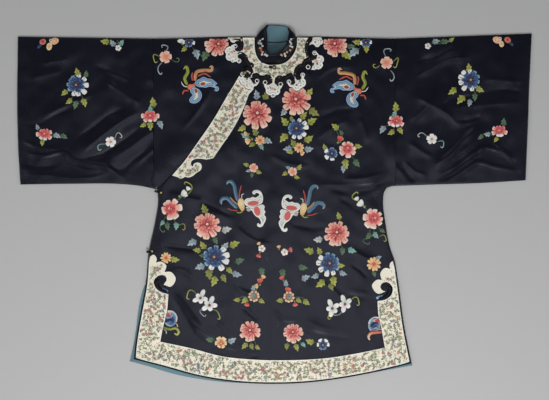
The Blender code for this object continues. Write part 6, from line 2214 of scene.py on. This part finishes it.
class JACKET_OT_border_design(bpy.types.Operator):
    """Embroiders small sprays of leaves and blossoms on the cream borders"""
    bl_idname = "jacket.border_design"
    bl_label = "Border design"

    def execute(self, context):
        sizes = context.scene.jacket_needlework
        kinds = bpy.data.collections.new("spray shapes")
        for row, shape in enumerate(SPRAY_SHAPES):
            kinds.objects.link(spray_shape(f"shape_{row:02d}", *shape))
        tree = spray_tree()
        for row, node in enumerate(CREAM_PIECES):
            sprays = Sprays(RINGS[node], surface_with(*CREAM_PIECES), sizes.seed + 20 + row,
                            0.8 * sizes.relief)
            random = sprays.random
            for place in sprays.spots(PALE_SPACING, PALE_ROOM):
                kind = PALE_KINDS[0] + int(random.integers(len(PALE_KINDS)))
                sprays.add(place, kind, random.uniform(0, 360), random.uniform(5.0, 8.5))
            for place in sprays.spots(sizes.sprig_spacing, SPRIG_ROOM):
                sprays.sprig(place)
            for place in sprays.spots(SMALL_SPACING, SMALL_ROOM):
                if random.random() < 0.55:
                    kind = int(random.choice(SMALL_KINDS))
                    sprays.add(place, kind, random.uniform(0, 360), (
                        random.uniform(2.4, 4.0) if kind < BUD_KINDS[0] else random.uniform(1.0, 1.8)))
            sprays.make(f"sprays_{node}", kinds, tree)
        for item in list(kinds.objects):
            bpy.data.objects.remove(item, do_unlink=True)
        bpy.data.collections.remove(kinds)
        return {"FINISHED"}


# ---------------------------------------------------------------- neck and cloud heads

# Black scrolls on the neck border, in millimetres. Each one ends in a round head.
SCROLLS = (
    ((-117, 461), (-101, 459), (-91, 445), (-95, 430), (-102, 432)),
    ((-102, 409), (-95, 416), (-82, 409), (-76, 394), (-65, 384)),
    ((-88, 375), (-73, 377), (-64, 365), (-70, 354), (-79, 358)),
    ((-35, 327), (-39, 344), (-50, 358), (-61, 348), (-54, 342)),
    ((-33, 327), (-31, 346), (-20, 354), (-12, 346), (-14, 334), (-20, 339)),
    ((26, 333), (18, 349), (9, 348), (7, 338), (12, 335)),
    ((26, 335), (34, 352), (47, 358), (56, 348), (49, 339)),
    ((83, 383), (74, 384), (62, 375), (60, 360), (66, 352)),
    ((82, 379), (83, 394), (95, 400), (104, 390), (97, 381)),
    ((101, 461), (91, 444), (91, 421), (103, 403), (110, 409)),
)
# Black scrolls let into the cloud heads of the vents, in millimetres.
VENT_SCROLLS = (
    ((-297, -243), (-311, -239), (-323, -228), (-326, -214), (-314, -211)),
    ((288, -262), (305, -257), (317, -245), (319, -231), (307, -228)),
)
# Short strips beside them, in millimetres.
SCROLL_SIDES = (
    ((-24, 352), (-18, 356), (-13, 352)), ((20, 352), (12, 353), (8, 350)), ((93, 446), (90, 430), (91, 412)),
    ((96, 405), (102, 400)), ((-40, 349), (-28, 352)), ((30, 352), (22, 352)),
)
# Widths of the scrolls and of the strips, and radii of the scrolls' heads and of the white loops.
SCROLL_WIDTH, STRIP_WIDTH, SCROLL_HEAD, WHITE_LOOP = 0.0122, 0.0085, 0.0088, 0.0052
# Round loops at the edges of the lobes, in millimetres.
LOOPS = (
    (-109, 438), (-124, 431), (-126, 415), (-115, 399), (-98, 397), (-88, 360), (-91, 346),
    (-76, 329), (-63, 326), (-48, 341), (-26, 337), (-19, 321), (-4, 302), (9, 312), (17, 332),
    (40, 339), (58, 322), (73, 328), (80, 341), (78, 358), (111, 419), (123, 406), (128, 385),
    (110, 378), (93, 380), (113, 449),
)
# Sprigs on the stand collar: x, y in millimetres, dye.
COLLAR_SPRIGS = (
    (-44, 472, "w"), (-42, 466, "w"), (-36, 462, "w"), (-33, 456, "w"), (-40, 451, "w"), (-43, 445, "w"),
    (-37, 443, "w"), (-33, 436, "w"), (-40, 431, "c"), (-37, 424, "r"), (-33, 419, "c"), (-34, 413, "w"),
    (-26, 412, "w"), (-21, 409, "w"), (52, 460, "w"), (46, 455, "w"), (43, 448, "w"), (46, 443, "w"),
    (49, 434, "w"), (44, 436, "w"), (43, 425, "c"), (35, 419, "c"), (28, 414, "w"), (30, 409, "w"),
    (19, 411, "c"),
)


class JACKET_OT_scrolls(bpy.types.Operator):
    """Lays the black scrolls and the white loops on the neck border, and embroiders the collar"""
    bl_idname = "jacket.scrolls"
    bl_label = "Neck scrolls and collar sprigs"

    def execute(self, context):
        relief = context.scene.jacket_needlework.relief
        top = surface_with(*CREAM_PIECES)
        dark, black = Needlework(41, 1.3 * relief), [SOOT, SOOT]
        for path in (*SCROLLS, *VENT_SCROLLS):
            path = np.array(path) * MM
            dark.ribbon(path, SCROLL_WIDTH, black, 0.00022, (0.45, 0.9), 1.0, 0.0022)
            dark.patch(disc(path[-1], SCROLL_HEAD, 16), path[-1], black, 0.00026, 1.0)
        for path in SCROLL_SIDES:
            dark.ribbon(np.array(path) * MM, STRIP_WIDTH, black, 0.00020, (0.9, 0.9), 0.9, 0.0022)
        dark.make("cloud_scrolls", top, "Black braid")

        fills, loops = Needlework(42, relief), np.array(LOOPS) * MM
        for place in loops:
            fills.patch(disc(place, 0.0040, 10), place, [GREY * 0.8, GREY], 0.00002, 0.5)
            fills.patch(disc(place, 0.0012, 7), place, [SOOT * 2.0, SOOT * 2.0], 0.00022, 0.6)
        for node in ("neck_border_left", "neck_border_right"):
            for ring in RINGS[node]:
                scallops(fills, ring, [dye(150, 156, 152), WHITE, WHITE], 0.0062, 0.00012, LOBES)
        for row, (x, y, _) in enumerate(LOBES[:6]):
            place = np.array([x, y]) * MM
            for turn, key in ((20 + 70 * row, "g"), (200 + 70 * row, "m")):
                leaf(fills, polar(place, 0.0075, turn), turn, 0.0095, LEAF_DYES[key])
            plain_flower(fills, ("peach", "plum")[row % 2], place, 0.0115, 30 * row)
        fills.make("neck_loop_fills", top, slot_name="cream_silk")
        cords("neck_loops", [laid(disc(place, WHITE_LOOP, 16), top, 0.0005) for place in loops], 0.0011,
              look="White silk", closed=True)

        grid = BUILT["collar"]
        faces = np.array(grid_faces(*grid.shape[:2]))
        collar = Surface([(grid.reshape(-1, 3), np.vstack([faces[:, [0, 1, 2]], faces[:, [0, 2, 3]]]))])
        work = Needlework(43, relief)
        for x, y, key in COLLAR_SPRIGS:
            place = np.array([x, y]) * MM
            turn = work.random.uniform(0, 72)
            for row in range(4):
                work.patch(petal(place, turn + 90 * row, 0.0034, 0.0032, 0.0, 8), place,
                           BUD_DYES[key], 0.0002, 0.7)
            tip = place + work.random.uniform(-0.005, 0.005, 2)
            work.ribbon([place, 0.5 * (place + tip) + 0.001, tip], 0.0010, [LEAF_DYES["w"][0], WHITE],
                        0.0002, (1.0, 0.4), 0.6)
        work.make("collar_sprigs", collar)
        return {"FINISHED"}


# ---------------------------------------------------------------- panel and order

STEPS = [JACKET_OT_stage, JACKET_OT_back, JACKET_OT_fronts, JACKET_OT_sleeves, JACKET_OT_borders,
         JACKET_OT_binding, JACKET_OT_edging, JACKET_OT_collar, JACKET_OT_fastenings,
         JACKET_OT_needlework, JACKET_OT_border_design, JACKET_OT_scrolls]


class JACKET_PT_panel(bpy.types.Panel):
    """Lists the sizes, the colours and the steps of the jacket"""
    bl_idname = "JACKET_PT_panel"
    bl_label = "Jacket"
    bl_space_type = "VIEW_3D"
    bl_region_type = "UI"
    bl_category = "Jacket"

    def draw(self, context):
        scene = context.scene
        for title, group in (
            ("Cloth", scene.jacket_cloth), ("Trim", scene.jacket_trim),
            ("Needlework", scene.jacket_needlework), ("Colours", scene.jacket_colours),
            ("Stage", scene.jacket_stage),
        ):
            box = self.layout.box()
            box.label(text=title)
            for key in group.__annotations__:
                box.prop(group, key)
        column = self.layout.column(align=True)
        for step in STEPS:
            column.operator(step.bl_idname)


SETTINGS = {"jacket_cloth": JacketCloth, "jacket_trim": JacketTrim,
            "jacket_needlework": JacketNeedlework, "jacket_colours": JacketColours,
            "jacket_stage": JacketStage}


def register():
    for made in (*SETTINGS.values(), *STEPS, JACKET_PT_panel):
        bpy.utils.register_class(made)
    for name, made in SETTINGS.items():
        setattr(bpy.types.Scene, name, PointerProperty(type=made))


def unregister():
    for name in SETTINGS:
        delattr(bpy.types.Scene, name)
    for made in (JACKET_PT_panel, *reversed(STEPS), *SETTINGS.values()):
        bpy.utils.unregister_class(made)


def main():
    register()
    make_looks()
    for step in STEPS:
        area, name = step.bl_idname.split(".")
        getattr(getattr(bpy.ops, area), name)()


if __name__ == "__main__":
    main()
